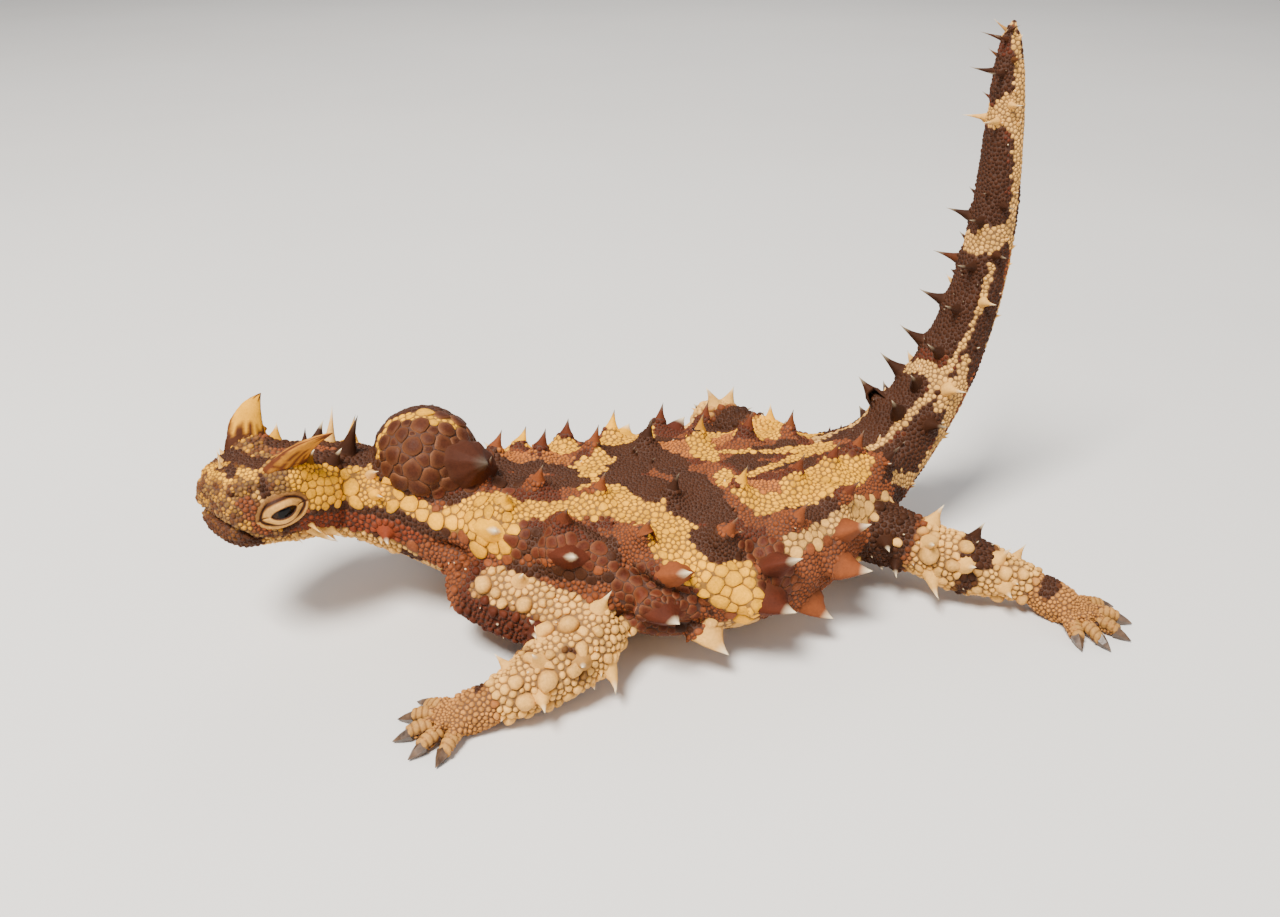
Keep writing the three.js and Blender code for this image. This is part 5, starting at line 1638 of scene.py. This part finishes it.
def makeToes(leg):
    heel = np.array(legJoints[leg][3], float)
    count, sides = toePlan["rings"], toePlan["sides"]
    sheet = bmesh.new()
    shades = {}
    for base, tip in toeEnds[leg]:
        out = unit((tip - base) * (1, 1, 0))
        start = base + unit(heel - base) * toePlan["back"]
        start[2] = toePlan["start"]
        base = base * (1, 1, 0) + (0, 0, toePlan["base"])
        end = base + out * toePlan["ahead"]
        side = np.cross(out, (0, 0, 1))
        rings = ringedSheet(count, sides, sheet)[1]
        for r, ring in enumerate(rings):
            share = r / (count - 1)
            step = (share * toePlan["scutes"]) % 1
            arch = np.array([0, 0, toePlan["arch"] * math.sin(math.pi * share)])
            spot = start * (1 - share) + end * share + arch
            radius = np.interp(share, (0, 1), toePlan["radius"]) * (0.9 + 0.14 * math.sin(math.pi * step))
            radius *= 0.55 if r == count - 1 else 1
            for k, vert in enumerate(ring):
                turn = 2 * math.pi * k / sides
                rise = np.array([0, 0, math.sin(turn) * radius * toePlan["high"]])
                where = spot + side * math.cos(turn) * radius + rise
                where[2] = max(where[2], floorLift)
                vert.co = where
                shades[vert] = 1.0 if step < 0.13 or r == count - 1 else 0.1
    sheet.verts.index_update()
    dark = {vert.index: value for vert, value in shades.items()}
    mesh = finishedSheet(sheet, f"toes_{leg}").data
    weights = noMarkings(len(mesh.vertices))
    for shade in ("cream", "tan"):
        weights[shade] += toePlan[shade]
    forms = np.zeros((len(mesh.vertices), 4))
    forms[:, 0] = [dark[k] for k in range(len(mesh.vertices))]
    forms[:, 1] = 0.5
    giveMarkings(mesh, weights, forms)


for leg in legNames:
    makeToes(leg)
print("toes made")

# eyes
eyePlan = {"station": 2.0, "angle": 86, "radius": 2.2, "depth": 1.15, "tilt": 13}


def bodyWay(u, degrees):
    along = bodyPoint(u + 0.02, degrees) - bodyPoint(u - 0.02, degrees)
    aside = bodyPoint(u, degrees + 1) - bodyPoint(u, degrees - 1)
    way = unit(np.cross(aside, along)[0])
    out = (bodyPoint(u, degrees) - sectionFrames(np.array([u]))[0])[0]
    return way if way @ out > 0 else -way


def eyeFrame(side):
    angle = eyePlan["angle"] * side
    out = bodyWay(eyePlan["station"], angle)
    middle = bodyPoint(eyePlan["station"], angle)[0] - out * eyePlan["depth"]
    back = sectionFrames(np.array([eyePlan["station"]]))[1][0]
    back = unit(back - out * (back @ out))
    up = np.cross(back, out)
    up = up if up[2] > 0 else -up
    tilt = math.radians(eyePlan["tilt"])
    along = back * math.cos(tilt) + up * math.sin(tilt)
    return middle, out, along, up * math.cos(tilt) - back * math.sin(tilt)


def makeEyeball(side, word):
    middle, out, along, up = eyeFrame(side)
    ball = bmesh.new()
    bmesh.ops.create_uvsphere(ball, u_segments=40, v_segments=24, radius=eyePlan["radius"])
    mesh = bpy.data.meshes.new(f"eyeball_{word}")
    ball.to_mesh(mesh)
    ball.free()
    spots = vertexArray(mesh)
    gaze = 1 - np.clip(spots @ out / eyePlan["radius"], 0, 1)
    gaze = np.sqrt(np.maximum(1 - (1 - gaze) ** 2, 0))
    mesh.vertices.foreach_set("co", inFrame(spots + middle).ravel())
    smoothed(mesh)
    layer = mesh.attributes.new("gaze", "FLOAT_COLOR", "POINT")
    layer.data.foreach_set("color", np.repeat(gaze.astype(np.float32), 4))
    mesh.update()
    piece = pieceFrom(f"eyeball_{word}", mesh, finishes["eye"])
    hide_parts(f"eye_{word}")
    return piece


# almond rings of the lids: half length, half height, radius round the eye's middle, lift off the hide, shade
lidRings = [
    (1.5, 0.58, 2.22, -1.0, "dark"), (1.6, 0.67, 2.34, -1.0, "dark"), (1.76, 0.82, 2.44, -1.0, "lid"),
    (2.15, 1.14, 2.5, 0.1, "lid"), (2.55, 1.42, 2.5, 0.2, "lid"), (2.8, 1.6, 2.4, 0.2, "dark"),
    (2.94, 1.74, 2.36, 0.2, "dark"), (3.1, 1.94, 2.4, 0.34, "fold"), (3.32, 2.24, 2.3, 0.26, "fold"),
    (3.66, 2.62, 1.9, -0.25, "tan"),
]
lidSides = 40


def makeLids(side, word):
    middle, out, along, up = eyeFrame(side)
    lids, rings = ringedSheet(len(lidRings), lidSides)
    shades = []
    for (long, high, ball, lift, shade), ring in zip(lidRings, rings):
        for k, vert in enumerate(ring):
            turn = 2 * math.pi * k / lidSides
            x = long * math.copysign(abs(math.cos(turn)) ** 0.9, math.cos(turn))
            y = high * math.copysign(abs(math.sin(turn)) ** 1.25, math.sin(turn))
            y *= 1.05 if turn < math.pi else 0.98 + 0.1 * (high > 1.9)
            crease = abs(math.sin(turn)) < 0.13 and 1.9 < long < 3.2
            level = math.sqrt(max(ball**2 - x**2 - y**2, 0.0))
            if lift > -0.9:
                start = middle + along * x + up * y + out * 5
                hit = hideTree.ray_cast(start.tolist(), (-out).tolist(), 9)
                floor = 5 - hit[3] if hit[0] is not None else 0
                level = max(level, floor + lift) if lift > 0 else floor + lift
            vert.co = middle + along * x + up * y + out * (level - 0.14 * crease)
            shades.append((vert, "dark" if crease else shade, turn > math.pi))
    lids.verts.index_update()
    shadeOf = {vert.index: (shade, lower) for vert, shade, lower in shades}
    bmesh.ops.recalc_face_normals(lids, faces=lids.faces)
    if sum(f.normal.dot(Vector(out)) for f in lids.faces) < 0:
        bmesh.ops.reverse_faces(lids, faces=lids.faces)
    mesh = sheetMesh(lids, f"lids_{word}")
    count = len(mesh.vertices)
    weights = noMarkings(count)
    forms = np.zeros((count, 4))
    forms[:, 1] = 0.5
    for index, (shade, lower) in shadeOf.items():
        if shade == "lid":
            weights["cream"][index] = 0.85 if lower else 0.6
            weights["tan"][index] = 0.15 if lower else 0.4
        elif shade == "fold":
            weights["cream" if lower else "tan"][index] = 0.75
        else:
            weights[shade][index] = 1
    giveMarkings(mesh, weights, forms)
    piece = pieceFrom(f"lids_{word}", mesh, finishes["scale"])
    smooth = piece.modifiers.new("smooth", "SUBSURF")
    smooth.levels = smooth.render_levels = 2
    return piece


for side, word in ((1, "left"), (-1, "right")):
    makeEyeball(side, word)
    makeLids(side, word)
print("eyes and lids made")

for name, node in bpy.data.objects.items():
    if "_claw_" in name and node.type == "MESH":
        node.material_slots[0].material = finishes["claw"]

# horns over the eyes: a broad curved leaf with streaks, a side tooth and a dark tip
# brown, yellow, orange, dark and redDark are for the left horn and the right one
hornPlan = {
    "station": 2.4, "angle": 38, "sunk": 0.82, "bend": (0.4, 2.2, 4.6), "reach": (5.2, 4.6, 6.4),
    "along": (0, 0.12, 0.3, 0.5, 0.7, 0.86, 1), "half": (3.5, 3.15, 2.7, 2.15, 1.45, 0.75, 0.06),
    "thick": (0.62, 0.5, 0.42, 0.4, 0.42, 0.5, 0.8), "rings": 30, "sides": 28, "tooth": (0.5, 0.42),
    "ridges": 9, "brown": (0.72, 0.36), "yellow": (0.35, 0.8), "orange": (0.6, 0.1), "dark": (0.45, 0.8),
    "redDark": (0.35, 0.2),
}


def makeHorn(side, word):
    centre, back, left, up, size = [rows[0] for rows in sectionFrames(np.array([hornPlan["station"]]))]
    foot = centre + (bodyPoint(hornPlan["station"], hornPlan["angle"] * side)[0] - centre) * hornPlan["sunk"]
    marks = [foot] + [foot + back * by[0] + left * by[1] * side + np.array([0, 0, by[2]])
                      for by in (hornPlan["bend"], hornPlan["reach"])]
    sides, count = hornPlan["sides"], hornPlan["rings"]
    horn, rings = ringedSheet(count, sides)
    shades = {}
    for r, ring in enumerate(rings):
        share = r / (count - 1)
        spot = (1 - share) ** 2 * marks[0] + 2 * share * (1 - share) * marks[1] + share**2 * marks[2]
        way = unit((1 - share) * (marks[1] - marks[0]) + share * (marks[2] - marks[1]))
        thin = unit(np.cross(way, back))
        wide = np.cross(thin, way)
        wide = wide if wide @ back > 0 else -wide
        half = np.interp(share, hornPlan["along"], hornPlan["half"])
        thick = half * np.interp(share, hornPlan["along"], hornPlan["thick"])
        tooth = hornPlan["tooth"][1] * np.clip((share - 0.34) / 0.2, 0, 1) * (share < hornPlan["tooth"][0])
        for k, vert in enumerate(ring):
            turn = 2 * math.pi * k / sides
            ridge = 1 + 0.045 * math.cos(hornPlan["ridges"] * turn) * (1 - share)
            rough = 0.12 * noise.noise(Vector((share * 14, turn * 2.2, side * 4))) * (1 - share) ** 0.5
            rear = max(math.cos(turn), 0) ** 6
            off = wide * (math.cos(turn) * (half * (ridge + rough) + tooth * rear))
            bulge = math.copysign(abs(math.sin(turn)) ** 1.2, math.sin(turn))
            off = off + thin * (bulge * thick * (ridge + rough))
            vert.co = spot + off
            streak = noise.noise(Vector((math.cos(turn) * 5, math.sin(turn) * 2, share * 1.6 + side * 3)))
            edge = abs(math.cos(turn)) ** 8
            grit = noise.noise(Vector((math.cos(turn) * 9, math.sin(turn) * 9, share * 12 + side)))
            low = max(0.0, hornPlan["brown"][side < 0] - share)
            lot = streak * 1.4 + edge * 0.6 + low * (2.6 + grit * 2) + max(0.0, share - 0.76) * 4
            shades[vert] = min(max((lot - 0.36) * 4, 0), 1)
    horn.verts.index_update()
    dark = {vert.index: value for vert, value in shades.items()}
    piece = finishedSheet(horn, f"brow_horn_{word}", "thorn")
    mesh = piece.data
    weights = noMarkings(len(mesh.vertices))
    amount = np.array([dark[k] for k in range(len(mesh.vertices))])
    for shade in ("yellow", "orange"):
        weights[shade] = (1 - amount) * hornPlan[shade][side < 0]
    for shade in ("dark", "redDark"):
        weights[shade] = amount * hornPlan[shade][side < 0]
    giveMarkings(mesh, weights, np.zeros((len(mesh.vertices), 4)))
    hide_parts(f"horn_{word}")


for side, word in ((1, "left"), (-1, "right")):
    makeHorn(side, word)
print("horns made")

# floor, light and camera
roomPlan = {"floor": (0.74, 0.72, 0.69), "floorTone": 0.03, "sky": (0.95, 0.96, 1.0), "skyStrength": 0.42}
lampPlans = {
    "key": {"spot": (-0.25, -0.2, 0.6), "aim": (0, 0, 0.01), "size": (0.2, 0.2), "watts": 11.52,
            "colour": (1.0, 0.96, 0.9)},
    "fill": {"spot": (0.6, -0.5, 0.35), "aim": (0, 0, 0.02), "size": (0.6, 0.5), "watts": 1.8,
             "colour": (0.94, 0.96, 1.0)},
    "back": {"spot": (0.2, 0.6, 0.5), "aim": (0, 0, 0.03), "size": (0.5, 0.4), "watts": 1.8,
             "colour": (1.0, 0.98, 0.95)},
}


def makeRoom():
    floor = bmesh.new()
    bmesh.ops.create_grid(floor, x_segments=1, y_segments=1, size=6)
    mesh = bpy.data.meshes.new("floor")
    floor.to_mesh(mesh)
    floor.free()
    ground = bpy.data.objects.new("floor", mesh)
    bpy.context.collection.objects.link(ground)
    material, tree, surface = newMaterial("paleFloor")
    darker, paler = [tuple(part * (1 + tone) for part in roomPlan["floor"])
                     for tone in (-roomPlan["floorTone"], roomPlan["floorTone"])]
    colour = mixed(tree, ranged(tree, noised(tree, 6, 4), 0.3, 0.7), darker, paler)
    tree.links.new(colour, surface.inputs["Base Color"])
    surface.inputs["Roughness"].default_value = 0.85
    mesh.materials.append(material)


def makeLamp(name, plan):
    light = bpy.data.lights.new(name, "AREA")
    light.shape = "RECTANGLE"
    light.size, light.size_y = plan["size"]
    light.energy = plan["watts"]
    light.color = plan["colour"]
    carrier = bpy.data.objects.new(name, light)
    carrier.location = plan["spot"]
    carrier.rotation_euler = (Vector(plan["aim"]) - Vector(plan["spot"])).to_track_quat("-Z", "Y").to_euler()
    bpy.context.collection.objects.link(carrier)


makeRoom()
for name, plan in lampPlans.items():
    makeLamp(name, plan)
sky = bpy.data.worlds.new("studio")
sky.use_nodes = True
sky.node_tree.nodes["Background"].inputs[0].default_value = (*roomPlan["sky"], 1)
sky.node_tree.nodes["Background"].inputs[1].default_value = roomPlan["skyStrength"]
bpy.context.scene.world = sky

cameraPlan = {"spot": (-0.038974, -0.132977, 0.094), "turn": (61, 0, -16), "lens": 31.16}
lens = bpy.data.cameras.new("camera")
lens.lens = cameraPlan["lens"]
lens.sensor_width = 36
lens.clip_start = 0.005
camera = bpy.data.objects.new("camera", lens)
camera.location = cameraPlan["spot"]
camera.rotation_euler = [math.radians(angle) for angle in cameraPlan["turn"]]
bpy.context.collection.objects.link(camera)
bpy.context.scene.camera = camera
